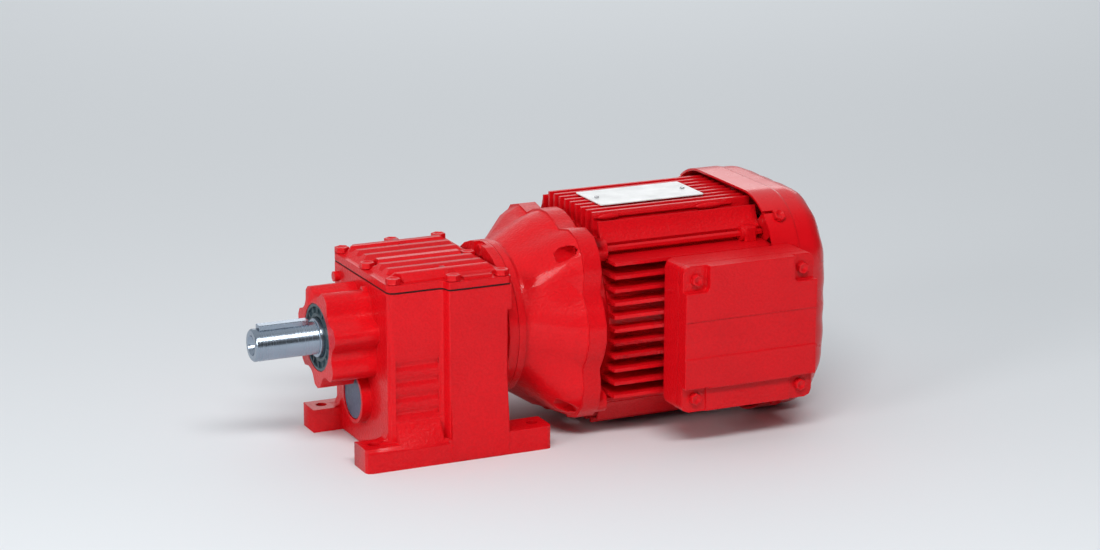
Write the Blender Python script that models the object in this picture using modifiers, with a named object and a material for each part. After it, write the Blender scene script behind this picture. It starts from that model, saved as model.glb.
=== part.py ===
"""Foot-mounted in-line helical gear unit with its flanged motor, in metres, +Z up.

The shafts run along X: the output shaft points to -X and the fan end to +X. The origin is the middle of the
foot plane, under the output axis. The terminal box is on the -Y side.
"""

import math

import bmesh
import bpy
from mathutils import Matrix, Vector

# Fits
FIT = 0.0003  # gap between pieces that seat on each other
OVERLAP = 0.001  # how far shapes that are joined run into each other
SEAT_STEPS = 20  # sides of the output shaft and of what sits on it or round it
INNER_STEPS = 16  # sides of the inner shafts and bearings
LARGE_STEPS = 28  # sides of the large round forms
BOLT_STEPS = 6
POCKET_STEPS = 10

# Gear train
CENTRE_DISTANCE = 0.050
HELIX_ANGLE = math.radians(16.26)
PRESSURE_ANGLE = math.radians(20.0)
MOTOR_PINION_TEETH = 26
WHEEL_TEETH = 38
COUNTER_PINION_TEETH = 14
OUTPUT_GEAR_TEETH = 34
STAGE_ONE_WIDTH = 0.018
STAGE_TWO_WIDTH = 0.024
BACKLASH = 0.0005
ROOT_CLEARANCE = 0.25  # of the normal module
GEAR_SIDE_GAP = 0.003
WHEEL_FRONT_GAP = 0.005
WHEEL_REAR_GAP = 0.004
WHEEL_TO_FLOOR = 0.0023125

# Output shaft
SHAFT_RADIUS = 0.0125
SHAFT_LENGTH = 0.050
SHAFT_CHAMFER = 0.0010
SHAFT_SEAL_RADIUS = 0.015
SHAFT_COLLAR_RADIUS = 0.0175
GEAR_SEAT_RADIUS = 0.016
SHAFT_REAR_RADIUS = 0.0125
COLLAR_OUT = 0.0021
CENTRE_HOLE_RADIUS = 0.0043
CENTRE_HOLE_DEPTH = 0.022
CENTRE_SINK_RADIUS = 0.0068
CENTRE_SINK_DEPTH = 0.004
KEY_WIDTH = 0.008
KEY_HEIGHT = 0.007
KEY_LENGTH = 0.040
KEY_DEPTH = 0.004
KEY_FROM_END = 0.005
KEY_CORNER = 0.0005

# Seal, bearings and closing cap
SEAL_RADIUS = 0.026
SEAL_WIDTH = 0.008
SEAL_LIP_DEPTH = 0.0022
SEAL_RIM = 0.0030
BORE_SHOULDER = 0.002
OUTPUT_FRONT_BEARING = (0.0275, 0.013)  # outer radius, width
OUTPUT_REAR_BEARING = (0.026, 0.015)
COUNTER_BEARING = (0.0175, 0.011)
MOTOR_FRONT_BEARING = (0.026, 0.015)
MOTOR_REAR_BEARING = (0.020, 0.012)
BEARING_DISH = 0.0012
CAP_THICKNESS = 0.0032
CAP_RECESS = 0.0005
CAP_LIP = 0.0012

# Countershaft
COUNTER_SEAT_RADIUS = 0.0075
COUNTER_BODY_RADIUS = 0.010

# Feet
FOOT_LENGTH = 0.152
FOOT_WIDTH = 0.1378
FOOT_HEIGHT = 0.0183
FOOT_RAIL = 0.026
FOOT_HOLE_RADIUS = 0.0045
FOOT_HOLE_STEPS = 12  # sides of the foot holes
FOOT_CUT_PAST = 1.2  # length of a foot hole's cutter in foot heights
FOOT_PITCH_X = 0.130
FOOT_PITCH_Y = 0.110
FOOT_CORNER = 0.004

# Gear housing
HOUSING_SETBACK = 0.0234
HOUSING_FRONT_LENGTH = 0.0447
HOUSING_HALF_FRONT = 0.0577
HOUSING_HALF_REAR = 0.0664
HOUSING_CORNER = 0.005
FRONT_WALL = 0.0075
SIDE_WALL = 0.0070
REAR_WALL = 0.0105
FLOOR_THICKNESS = 0.0065
RIM_WIDTH = 0.010
RIM_DEPTH = 0.010
TOP_CLEARANCE = 0.0055
REAR_LEDGE = 0.0023
REAR_LEDGE_HEIGHT = 0.019
WEB_SHOULDER = 0.003
WEB_SHAFT_HOLE = 0.013
SLOPE_GROOVE = 0.0045
RIDGE_COUNT = 4
RIDGE_PITCH = 0.0123
RIDGE_DEPTH = 0.0022
RIDGE_TOP = 0.0823
FRONT_SLOPE_LOW = 0.0145
FRONT_SLOPE_HIGH = 0.0325
FRONT_SLOPE_PROUD = 0.0004
REAR_SLOPE_LOW = 0.0290
REAR_SLOPE_HIGH = 0.0620
REAR_SLOPE_PROUD = 0.0004
FOOT_FILLET = 0.0065
PLAN_CHAMFER = 0.002
STEP_CHAMFER = 0.001

# Rosette boss round the output shaft, and the round boss below it
BOSS_LENGTH = 0.0358
BOSS_LOBES = 7
BOSS_PEAK = 0.040
BOSS_VALLEY = 0.0315
CAP_BOSS_OUT = 0.0077
CAP_BOSS_WALL = 0.0035
WALL_PIP_RADIUS = 0.004
WALL_PIP_OUT = 0.004
WALL_PIPS = ((-0.0132, 0.0073), (0.0461, 0.0100))  # across, and down from the housing's top

# Round flange between the housing and the motor
FLANGE_RADIUS = 0.060
FLANGE_GAP = 0.0015
FLANGE_NECK_RADIUS = 0.0565
FLANGE_DEPTH = 0.0077
FLANGE_BORE = 0.028
REGISTER_RADIUS = 0.0449
REGISTER_DEPTH = 0.004
FLANGE_BOLT_CIRCLE = 0.0530
FLANGE_BOLT_COUNT = 3
NOTCH_ROOM = 0.0010
REAR_BOSS_WALL = 0.004

# Cover and its gasket
GASKET_THICKNESS = 0.0008
COVER_FLANGE = 0.0055
COVER_PLATEAU = 0.0030
COVER_RIB_COUNT = 7
COVER_RIB_HEIGHT = 0.0032
COVER_EDGE = 0.0085
COVER_BOLT_INSET = 0.0058
COVER_POCKET_RADIUS = 0.0085
COVER_SPUR = 0.004

# Bolts: head radius over corners, head height, shank radius
COVER_BOLT = (0.0058, 0.0042, 0.0024)
COVER_BOLT_LENGTH = 0.014
FLANGE_BOLT = (0.0058, 0.0040, 0.0030)
TIE_BOLT = (0.0052, 0.0040, 0.0025)
COWL_SCREW = (0.0052, 0.0030, 0.0022)
COWL_SCREW_LENGTH = 0.009
LID_SCREW = (0.0048, 0.0036, 0.0022)
LID_SCREW_LENGTH = 0.016

# Reach of the motor's top fins from its axis, from which the motor's other widths follow
TOP_FIN_REACH = 0.084

# Motor end shield at the gear side
SHIELD_RING_DEPTH = 0.006
BELL_LENGTH = 0.0474
BELL_NECK_RADIUS = 0.0575
BELL_WALL = 0.0085
BELL_EDGE = 0.0012  # how far the bell ends inside the rim's edge
BELL_SWELL = ((0.0, 0.0), (0.10, 0.03), (0.35, 0.34), (0.70, 0.78), (1.0, 1.0))  # share of length, of swell
SHIELD_RIM_DEPTH = 0.0146
EAR_DEPTH = 0.0231
EAR_RADIUS = 1.1119 * TOP_FIN_REACH
EAR_SEAT_RADIUS = 0.0062
EAR_SEAT_LENGTH = 0.016
RIM_SIDE_RADIUS = 1.01 * TOP_FIN_REACH
RIM_TOP_RADIUS = 0.955 * TOP_FIN_REACH
RIM_WAIST_RADIUS = 0.9107 * TOP_FIN_REACH
RIM_POINTS = 40  # points round the shield's rim
EAR_SPREAD = 19  # degrees on each side of an ear's middle
EAR_ROUNDING = 0.7  # below one, an ear's flanks are rounder
EAR_FULLNESS = 1.6  # above one, an ear's top is wider
TIE_PITCH = 1.4238 * TOP_FIN_REACH
HUB_WALL = 0.006
MOTOR_SEAL_RADIUS = 0.020
MOTOR_SEAL_WIDTH = 0.007

# Rotor
PINION_SEAT_RADIUS = 0.008
ROTOR_FRONT_RADIUS = 0.0095
MOTOR_SEAT_RADIUS = 0.010
ROTOR_BODY_RADIUS = 0.013
ROTOR_REAR_SEAT = 0.0085
FAN_SEAT_RADIUS = 0.0075
ROTOR_RADIUS = 0.4524 * TOP_FIN_REACH
AIR_GAP = 0.0005
CORE_LENGTH = 0.095
END_RING_LENGTH = 0.007
END_RING_INNER = 0.2857 * TOP_FIN_REACH
END_RING_OUTER = 0.4286 * TOP_FIN_REACH

# Stator
CORE_RADIUS = 0.744 * TOP_FIN_REACH
SLOT_COUNT = 24
SLOT_ROOT = 0.36  # half width of a tooth at the slots' root, in half slot pitches
SLOT_MOUTH = 0.72  # the same at the bore
SLOT_DEPTH = 0.1667 * TOP_FIN_REACH
WINDING_INNER = 0.506 * TOP_FIN_REACH
WINDING_OUTER = 0.7083 * TOP_FIN_REACH
WINDING_LENGTH = 0.016
TUBE_RADIUS = 0.8333 * TOP_FIN_REACH
FINNED_LENGTH = 0.1365
CORE_FROM_FINS = 0.0100
SIDE_FIN_COUNT = 11
SIDE_FIN_PITCH = 0.12464 * TOP_FIN_REACH
SIDE_FIN_REACH = 0.9524 * TOP_FIN_REACH
TOP_FIN_COUNT = 9
TOP_FIN_PITCH = 0.1143 * TOP_FIN_REACH
FIN_ROOT_THICKNESS = 0.0040
FIN_TIP_THICKNESS = 0.0028
CORNER_TOP = (0.5952 * TOP_FIN_REACH, 0.9405 * TOP_FIN_REACH)  # corner panel's upper edge
CORNER_BACK = 0.5774 * TOP_FIN_REACH
CORNER_LEDGE = 0.7857 * TOP_FIN_REACH
CORNER_FLOOR = 0.6488 * TOP_FIN_REACH  # where the tie bolt's groove ends on the top side fin
CORNER_CURVE = ((0.6548, 0.7143), (0.6786, 0.7595), (0.6488, 0.7917), (0.6205, 0.8452), (0.6012, 0.8988))

# Rear end shield
REAR_PLATE = 0.0075
REAR_PLATE_HALF = 0.881 * TOP_FIN_REACH
REAR_REGISTER = 0.005
REAR_HUB_WALL = 0.0065
LUG_LENGTH = 0.010
LUG_WIDTH = 0.012
ARM_WIDTH = 0.020
LUG_HEIGHT = 0.010
LUG_CUT_PAST = 1.3  # length of a lug hole's cutter in lug heights

# Fan and cowl
FAN_RADIUS = 0.7619 * TOP_FIN_REACH
FAN_PLATE = 0.002
FAN_BLADES = 8
FAN_BLADE_WIDTH = 0.018
FAN_BLADE_THICKNESS = 0.002
FAN_HUB_RADIUS = 0.0145
FAN_HUB_LENGTH = 0.020
FAN_TO_GRILLE = 0.008
COWL_FIN_GAP = 0.0034
COWL_WALL = 0.0018
COWL_HALF = TOP_FIN_REACH + COWL_FIN_GAP + COWL_WALL
COWL_CORNER = 0.619 * TOP_FIN_REACH
COWL_CORNER_POINTS = 5
COWL_LENGTH = 0.054
COWL_OVER_FINS = 0.0043
COWL_BEAD_AT = 0.0225
COWL_BEAD_STEP = 0.0010
COWL_SHOULDER = 0.014
GRILLE_INNER = 0.017
GRILLE_RINGS = 3
GRILLE_SPOKES = 4
GRILLE_SLOT = 0.0085
GRILLE_LAND = 0.0065
GRILLE_SPOKE_WIDTH = 0.008
COWL_NOTCH_WIDTH = 0.004
COWL_NOTCH_DEPTH = 0.009
COWL_NOTCH_ASIDE = 1.4  # distance of a notch from its screw in screw head radii

# Terminal box
BOX_LENGTH = 0.113
BOX_HEIGHT = 0.115
BOX_FROM_FINS = 0.037
BOX_LIFT = -0.0015  # the middle of the box above the motor axis
BOX_BASE_DEPTH = 0.0225
BOX_LID_DEPTH = 0.0135
BOX_WALL = 0.0045
BOX_CORNER = 0.006
BOX_WINDOW = 0.036
BOX_PAD = 0.062
LID_WALL = 0.0040
LID_SCREW_INSET = 0.0110
LID_POCKET = 0.0200
LID_POCKET_DEPTH = 0.0060
LID_STRIP_HEIGHT = 0.019
LID_STRIP_SETBACK = 0.0045
LID_STEP_DEPTH = 0.0008
BOARD_SIZE = 0.052
BOARD_THICKNESS = 0.008
BOARD_STUD_RADIUS = 0.0025
BOARD_STUD_LENGTH = 0.008
ENTRY_RADIUS = 0.0062
ENTRY_STEPS = 12  # sides of the cable entries
ENTRY_HEAD_RADIUS = 0.0088
ENTRY_HEAD_LENGTH = 0.004
ENTRY_PITCH = 0.040

# Nameplate
PLATE_LENGTH = 0.090
PLATE_WIDTH = 0.046
PLATE_THICKNESS = 0.0008
PLATE_FROM_FINS = 0.0155
RIVET_RADIUS = 0.0019
RIVET_HEAD = 0.0009
RIVET_INSET = 0.0075

# Gear sizes that follow from the centre distance and the teeth
STAGE_ONE_MODULE = 2 * CENTRE_DISTANCE / (MOTOR_PINION_TEETH + WHEEL_TEETH)
STAGE_TWO_MODULE = 2 * CENTRE_DISTANCE / (COUNTER_PINION_TEETH + OUTPUT_GEAR_TEETH)
WHEEL_TIP = STAGE_ONE_MODULE * (WHEEL_TEETH / 2 + math.cos(HELIX_ANGLE))
OUTPUT_TIP = STAGE_TWO_MODULE * (OUTPUT_GEAR_TEETH / 2 + math.cos(HELIX_ANGLE))

# Heights
COUNTER_Z = FLOOR_THICKNESS + WHEEL_TO_FLOOR + WHEEL_TIP
SHAFT_Z = COUNTER_Z + CENTRE_DISTANCE
HOUSING_TOP = SHAFT_Z + OUTPUT_TIP + TOP_CLEARANCE

# Stations along X, from the foot's front end to the fan cowl
FOOT_FRONT = -FOOT_LENGTH / 2
HOUSING_FRONT = FOOT_FRONT + HOUSING_SETBACK
HOUSING_STEP = HOUSING_FRONT + HOUSING_FRONT_LENGTH
BOSS_FACE = HOUSING_FRONT - BOSS_LENGTH
SHAFT_SHOULDER = BOSS_FACE - COLLAR_OUT
SHAFT_END = SHAFT_SHOULDER - SHAFT_LENGTH
CAP_BOSS_FACE = HOUSING_FRONT - CAP_BOSS_OUT
SEAL_FRONT = BOSS_FACE + FIT
FRONT_BEARING_X = SEAL_FRONT + SEAL_WIDTH + FIT + BORE_SHOULDER + FIT
CAP_FRONT = CAP_BOSS_FACE + CAP_RECESS
COUNTER_FRONT_BEARING_X = CAP_FRONT + CAP_THICKNESS + FIT
INNER_FRONT = max(HOUSING_FRONT + FRONT_WALL, COUNTER_FRONT_BEARING_X + COUNTER_BEARING[1])
GEAR_FRONT = INNER_FRONT + GEAR_SIDE_GAP
GEAR_REAR = GEAR_FRONT + STAGE_TWO_WIDTH
WEB_FRONT = GEAR_REAR + GEAR_SIDE_GAP
REAR_BEARING_X = WEB_FRONT + FIT
WEB_REAR = REAR_BEARING_X + OUTPUT_REAR_BEARING[1] + FIT + WEB_SHOULDER
WHEEL_FRONT = WEB_REAR + WHEEL_FRONT_GAP
WHEEL_REAR = WHEEL_FRONT + STAGE_ONE_WIDTH
INNER_REAR = WHEEL_REAR + WHEEL_REAR_GAP
COUNTER_REAR_BEARING_X = INNER_REAR + FIT
HOUSING_REAR = INNER_REAR + REAR_WALL
LEDGE_REAR = HOUSING_REAR + REAR_LEDGE
FLANGE_FRONT = LEDGE_REAR + FLANGE_GAP
FLANGE_FACE = FLANGE_FRONT + FLANGE_DEPTH
SHIELD_FRONT = FLANGE_FACE + FIT
EAR_FACE = FLANGE_FACE + BELL_LENGTH
RIM_REAR = EAR_FACE + SHIELD_RIM_DEPTH
EAR_REAR = EAR_FACE + EAR_DEPTH
TUBE_FRONT = RIM_REAR + FIT
FINS_FRONT = EAR_REAR + FIT
FINS_REAR = FINS_FRONT + FINNED_LENGTH
CORE_FRONT = FINS_FRONT + CORE_FROM_FINS
CORE_REAR = CORE_FRONT + CORE_LENGTH
MOTOR_SEAL_X = FLANGE_FACE - REGISTER_DEPTH + FIT + OVERLAP
MOTOR_BEARING_X = MOTOR_SEAL_X + MOTOR_SEAL_WIDTH + FIT + BORE_SHOULDER + FIT
PLATE_FRONT = FINS_REAR + FIT
PLATE_REAR = PLATE_FRONT + REAR_PLATE
MOTOR_REAR_BEARING_X = PLATE_FRONT + 0.0015
REAR_HUB_END = MOTOR_REAR_BEARING_X + MOTOR_REAR_BEARING[1] + FIT + BORE_SHOULDER
COWL_FRONT = FINS_REAR - COWL_OVER_FINS
COWL_REAR = COWL_FRONT + COWL_LENGTH
FAN_REAR = COWL_REAR - COWL_WALL - FAN_TO_GRILLE
FAN_FRONT = FAN_REAR - FAN_BLADE_WIDTH - FAN_PLATE
BOX_FRONT = FINS_FRONT + BOX_FROM_FINS
BOX_Z = SHAFT_Z + BOX_LIFT
BOX_BACK = -COWL_HALF - 2 * FIT
BOX_JOINT = BOX_BACK - BOX_BASE_DEPTH
LID_FACE = BOX_JOINT - FIT - BOX_LID_DEPTH

# Bolt places on the cover, along and across
COVER_BOLTS = [
    (HOUSING_FRONT + COVER_BOLT_INSET, -HOUSING_HALF_FRONT + COVER_BOLT_INSET),
    (HOUSING_FRONT + COVER_BOLT_INSET, 0.0),
    (HOUSING_FRONT + COVER_BOLT_INSET, HOUSING_HALF_FRONT - COVER_BOLT_INSET),
    (HOUSING_STEP + COVER_BOLT_INSET, -HOUSING_HALF_REAR + COVER_BOLT_INSET),
    (HOUSING_STEP + COVER_BOLT_INSET, HOUSING_HALF_REAR - COVER_BOLT_INSET),
    (LEDGE_REAR - COVER_BOLT_INSET, -HOUSING_HALF_REAR + COVER_BOLT_INSET),
    (INNER_REAR + COVER_BOLT_INSET, 0.0),
    (LEDGE_REAR - COVER_BOLT_INSET, HOUSING_HALF_REAR - COVER_BOLT_INSET),
]
QUARTERS = [(1, 1), (-1, 1), (-1, -1), (1, -1)]

# Local axes of a piece that is drawn flat and stands along world X, Y or Z
ALONG = {
    "X": Matrix(((0, 0, 1, 0), (1, 0, 0, 0), (0, 1, 0, 0), (0, 0, 0, 1))),
    "Y": Matrix(((0, 1, 0, 0), (0, 0, 1, 0), (1, 0, 0, 0), (0, 0, 0, 1))),
    "Z": Matrix.Identity(4),
}


# Scene


def clear_scene():
    for obj in list(bpy.data.objects):
        bpy.data.objects.remove(obj)


def collection(name, hidden=False):
    made = bpy.data.collections.new(name)
    bpy.context.scene.collection.children.link(made)
    made.hide_render = hidden
    return made


def material(name, colour, roughness, metallic):
    made = bpy.data.materials.new(name)
    made.use_nodes = True
    shader = made.node_tree.nodes["Principled BSDF"]
    shader.inputs["Base Color"].default_value = (*colour, 1.0)
    shader.inputs["Roughness"].default_value = roughness
    shader.inputs["Metallic"].default_value = metallic
    return made


clear_scene()
PARTS = collection("helical_gear_unit")
CUTTERS = collection("cutters", hidden=True)
CAST_RED = material("cast_red_paint", (0.72, 0.010, 0.012), 0.38, 0.0)
SHEET_RED = material("sheet_red_paint", (0.74, 0.008, 0.012), 0.30, 0.0)
BRIGHT_STEEL = material("bright_steel", (0.62, 0.63, 0.65), 0.22, 1.0)
GEAR_STEEL = material("ground_gear_steel", (0.45, 0.45, 0.46), 0.30, 1.0)
SEAL_RUBBER = material("seal_rubber", (0.055, 0.105, 0.125), 0.50, 0.0)
CAP_BLUE = material("cap_rubber", (0.065, 0.080, 0.130), 0.45, 0.0)
GASKET_DARK = material("gasket_dark", (0.03, 0.02, 0.02), 0.80, 0.0)
CORE_STEEL = material("core_lamination", (0.30, 0.30, 0.31), 0.50, 1.0)
COPPER = material("varnished_copper", (0.45, 0.16, 0.06), 0.40, 0.8)
ALUMINIUM = material("cast_aluminium", (0.60, 0.60, 0.61), 0.45, 1.0)
BLACK_PLASTIC = material("black_plastic", (0.02, 0.02, 0.02), 0.50, 0.0)
PLATE_WHITE = material("blank_plate", (0.86, 0.87, 0.88), 0.35, 0.0)


# Making and joining shapes


def place(obj, group, along="Z", at=(0, 0, 0)):
    group.objects.link(obj)
    obj.matrix_world = Matrix.Translation(at) @ ALONG[along]
    return obj


def helper(obj):
    """Moves an object to the cutters, which aren't pieces of the part."""
    for group in list(obj.users_collection):
        group.objects.unlink(obj)
    CUTTERS.objects.link(obj)
    obj.hide_render = True
    obj.display_type = "WIRE"
    return obj


def finish(obj, name, look):
    """Names a piece, gives it its material and shades its round faces smooth."""
    obj.name = name
    obj.data.name = name
    obj.data.materials.clear()
    obj.data.materials.append(look)
    if obj.type == "MESH":
        obj.data.shade_smooth()
        obj.data.set_sharp_from_angle(angle=math.radians(35))
    return obj


def boolean(target, other, operation):
    step = target.modifiers.new(other.name, "BOOLEAN")
    step.operation = operation
    step.object = helper(other)
    step.solver = "EXACT"


def join(target, *others):
    for other in others:
        boolean(target, other, "UNION")
    return target


def cut(target, *others):
    for other in others:
        boolean(target, other, "DIFFERENCE")
    return target


def baked(obj, in_place=False):
    """The evaluated shape of an object as a welded mesh, with its place in it if asked; the object goes."""
    graph = bpy.context.evaluated_depsgraph_get()
    mesh = bpy.data.meshes.new_from_object(obj.evaluated_get(graph))
    shape = bmesh.new()
    shape.from_mesh(mesh)
    bmesh.ops.remove_doubles(shape, verts=shape.verts, dist=1e-6)
    bmesh.ops.recalc_face_normals(shape, faces=shape.faces)
    shape.to_mesh(mesh)
    shape.free()
    if in_place:
        mesh.transform(obj.matrix_world)
    bpy.data.objects.remove(obj)
    return mesh


def flat(outlines, start, end, along="X", at=(0, 0)):
    """A flat piece: closed outlines, the later ones holes, extruded from start to end along an axis."""
    curve = bpy.data.curves.new("flat", "CURVE")
    curve.dimensions = "2D"
    curve.fill_mode = "BOTH"
    curve.extrude = abs(end - start) / 2
    for outline in outlines:
        spline = curve.splines.new("POLY")
        spline.points.add(len(outline) - 1)
        spline.use_cyclic_u = True
        for point, (across, up) in zip(spline.points, outline):
            point.co = (across + at[0], up + at[1], 0.0, 1.0)
    drawn = bpy.data.objects.new("flat", curve)
    middle = Vector((0, 0, 0))
    middle["XYZ".index(along)] = (start + end) / 2
    place(drawn, CUTTERS, along, middle)
    bpy.context.view_layer.update()
    matrix = drawn.matrix_world.copy()
    made = bpy.data.objects.new("flat", baked(drawn))
    PARTS.objects.link(made)
    made.matrix_world = matrix
    return made


def prism(outline, start, end, along="X", at=(0, 0)):
    """One closed outline extruded from start to end along an axis."""
    mesh = bpy.data.meshes.new("prism")
    shape = bmesh.new()
    face = shape.faces.new([shape.verts.new((across + at[0], up + at[1], start)) for across, up in outline])
    grown = bmesh.ops.extrude_face_region(shape, geom=[face], use_keep_orig=True)
    moved = [item for item in grown["geom"] if isinstance(item, bmesh.types.BMVert)]
    bmesh.ops.translate(shape, verts=moved, vec=(0, 0, end - start))
    bmesh.ops.recalc_face_normals(shape, faces=shape.faces)
    shape.to_mesh(mesh)
    shape.free()
    return place(bpy.data.objects.new("prism", mesh), PARTS, along)


def turned(profile, height=0.0, steps=SEAT_STEPS, across=0.0, along="X"):
    """A turned piece about an axis: the profile is (station, radius) points, closed or ending on the axis."""
    area = sum(a[1] * b[0] - b[1] * a[0] for a, b in zip(profile, profile[1:] + profile[:1]))
    points = profile if area < 0 else profile[::-1]
    on_axis = any(radius == 0 for _, radius in points)
    while on_axis and not (points[0][1] == 0 and points[-1][1] == 0):
        points = points[1:] + points[:1]
    mesh = bpy.data.meshes.new("turned")
    edges = [(i, i + 1) for i in range(len(points) - 1)]
    if not on_axis:
        edges.append((len(points) - 1, 0))
    mesh.from_pydata([(radius, 0, station) for station, radius in points], edges, [])
    made = bpy.data.objects.new("turned", mesh)
    place(made, PARTS, along, (0, across, height))
    screw = made.modifiers.new("turn", "SCREW")
    screw.axis = "Z"
    screw.steps = steps
    screw.render_steps = steps
    screw.use_merge_vertices = True
    screw.merge_threshold = 1e-6
    screw.use_smooth_shade = False
    return made


def clear_radius(radius, steps=BOLT_STEPS):
    """Corner radius of a faceted hole whose flats clear a round piece by the fit."""
    return (radius + FIT) / math.cos(math.pi / steps)


def rod(start, end, radius, height=0.0, across=0.0, steps=SEAT_STEPS):
    """A plain round bar along X."""
    return turned([(start, 0), (start, radius), (end, radius), (end, 0)], height, steps, across)


def drum(centre, radius, length, along, steps=SEAT_STEPS):
    """A plain round bar centred on a point, along X, Y or Z."""
    mesh = bpy.data.meshes.new("drum")
    shape = bmesh.new()
    bmesh.ops.create_cone(
        shape, cap_ends=True, segments=steps, radius1=radius, radius2=radius, depth=length
    )
    shape.to_mesh(mesh)
    shape.free()
    return place(bpy.data.objects.new("drum", mesh), PARTS, along, centre)


def block(low, high):
    """A box between two corners."""
    low, high = Vector(low), Vector(high)
    mesh = bpy.data.meshes.new("block")
    shape = bmesh.new()
    bmesh.ops.create_cube(shape, size=1.0)
    bmesh.ops.scale(shape, vec=high - low, verts=shape.verts)
    bmesh.ops.translate(shape, vec=(low + high) / 2, verts=shape.verts)
    shape.to_mesh(mesh)
    shape.free()
    return place(bpy.data.objects.new("block", mesh), PARTS)


def arc(centre, radius, first, last, count):
    """Points of an arc, angles in degrees, both ends included."""
    angles = [math.radians(first + (last - first) * i / (count - 1)) for i in range(count)]
    return [(centre[0] + radius * math.cos(a), centre[1] + radius * math.sin(a)) for a in angles]


def circle(radius, count, at=(0, 0)):
    return arc(at, radius, 0, 360 * (count - 1) / count, count)


def rounded(half_x, half_y, corner, count=4, at=(0, 0)):
    """Outline of a rectangle with round corners."""
    points = []
    for quarter, (sx, sy) in enumerate(QUARTERS):
        centre = (at[0] + sx * (half_x - corner), at[1] + sy * (half_y - corner))
        points += arc(centre, corner, 90 * quarter, 90 * quarter + 90, count)
    return points


def four_ways(quadrant):
    """A closed outline from its first quadrant, listed from the across axis to the up axis."""
    upper = quadrant + [(-a, u) for a, u in reversed(quadrant)]
    return upper + [(-a, -u) for a, u in upper]


def hex_bolt_mesh(sizes, length):
    """A hexagon head above the origin and a round shank below it."""
    head_radius, head_height, shank_radius = sizes
    head = drum((0, 0, head_height / 2), head_radius, head_height, "Z", BOLT_STEPS)
    join(head, drum((0, 0, (OVERLAP - length) / 2), shank_radius, length + OVERLAP, "Z", BOLT_STEPS))
    return baked(head, in_place=True)


def bolt_copies(name, mesh, look, places):
    """Numbered copies of a bolt: each place is a matrix that takes its own Z to the way out of the hole."""
    finished = []
    for number, matrix in enumerate(places, 1):
        obj = bpy.data.objects.new(f"{name}_{number}", mesh)
        PARTS.objects.link(obj)
        obj.matrix_world = matrix
        finished.append(finish(obj, f"{name}_{number}", look))
        mesh.name = name
    return finished


def at_point(x, y, z, turn=Matrix.Identity(4)):
    return Matrix.Translation((x, y, z)) @ turn


# Gears


def gear_outline(teeth, module, flank_steps, first_angle):
    """Transverse involute outline as (radius, angle) points, with a tooth centred on the first angle."""
    normal_module = module * math.cos(HELIX_ANGLE)
    pitch = module * teeth / 2
    tip = pitch + normal_module
    root = pitch - (1 + ROOT_CLEARANCE) * normal_module
    transverse_angle = math.atan(math.tan(PRESSURE_ANGLE) / math.cos(HELIX_ANGLE))
    base = pitch * math.cos(transverse_angle)
    involute = math.tan(transverse_angle) - transverse_angle
    half_at_pitch = math.pi / (2 * teeth) - BACKLASH / (4 * pitch)

    def half_width(radius):
        angle = math.acos(base / radius)
        return half_at_pitch + involute - (math.tan(angle) - angle)

    start = max(root, base)
    radii = [start + (tip - start) * i / (flank_steps - 1) for i in range(flank_steps)]
    rising = [(radius, half_width(radius)) for radius in radii]
    if start - root > module / 10:
        rising.insert(0, (root, rising[0][1]))
    else:
        rising[0] = (root, rising[0][1])
    points = []
    for tooth in range(teeth):
        centre = first_angle + 2 * math.pi * tooth / teeth
        points += [(radius, centre - half) for radius, half in rising]
        points += [(radius, centre + half) for radius, half in reversed(rising)]
    return points


def lofted(rings, height):
    """A closed piece through rings of (radius, angle, station), about the axis along X at a height."""
    shape = bmesh.new()
    loops = [
        [shape.verts.new((radius * math.cos(angle), radius * math.sin(angle), station))
         for radius, angle, station in ring]
        for ring in rings
    ]
    shape.faces.new(loops[0])
    shape.faces.new(loops[-1])
    for near, far in zip(loops, loops[1:]):
        for i in range(len(near)):
            after = (i + 1) % len(near)
            shape.faces.new((near[i], near[after], far[after], far[i]))
    bmesh.ops.recalc_face_normals(shape, faces=shape.faces)
    bmesh.ops.triangulate(shape, faces=[f for f in shape.faces if len(f.verts) > 4])
    mesh = bpy.data.meshes.new("loft")
    shape.to_mesh(mesh)
    shape.free()
    return place(bpy.data.objects.new("loft", mesh), PARTS, "X", (0, 0, height))


def helical_gear(outline, start, width, pitch, hand, slices, height):
    """The outline lofted along X with the helix's twist, about the axis at a height."""
    rings = []
    for i in range(slices + 1):
        turn = hand * math.tan(HELIX_ANGLE) * width / pitch * i / slices
        station = start + width * i / slices
        rings.append([(radius, angle + turn, station) for radius, angle in outline])
    return lofted(rings, height)


def bearing(name, sizes, bore, start, height, steps=INNER_STEPS):
    """A shielded ball bearing as one ring, with both faces dished between the races."""
    outer, width = sizes
    inner = bore + FIT
    middle = (inner + outer) / 2
    profile = [(start, inner), (start + BEARING_DISH, middle), (start, outer), (start + width, outer)]
    profile += [(start + width - BEARING_DISH, middle), (start + width, inner)]
    return finish(turned(profile, height, steps), name, GEAR_STEEL)


# Gear housing


def rosette():
    """Outline of the boss: flat-topped lobes with one straight down, round valleys between them."""
    points = []
    count = BOSS_LOBES * 6
    for i in range(count):
        angle = 2 * math.pi * i / count - math.pi / 2
        wave = math.cos(BOSS_LOBES * 2 * math.pi * i / count)
        swell = 1.5 * wave - 0.5 * wave**3
        radius = (BOSS_PEAK + BOSS_VALLEY) / 2 + (BOSS_PEAK - BOSS_VALLEY) / 2 * swell
        points.append((radius * math.cos(angle), radius * math.sin(angle)))
    return points


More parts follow.
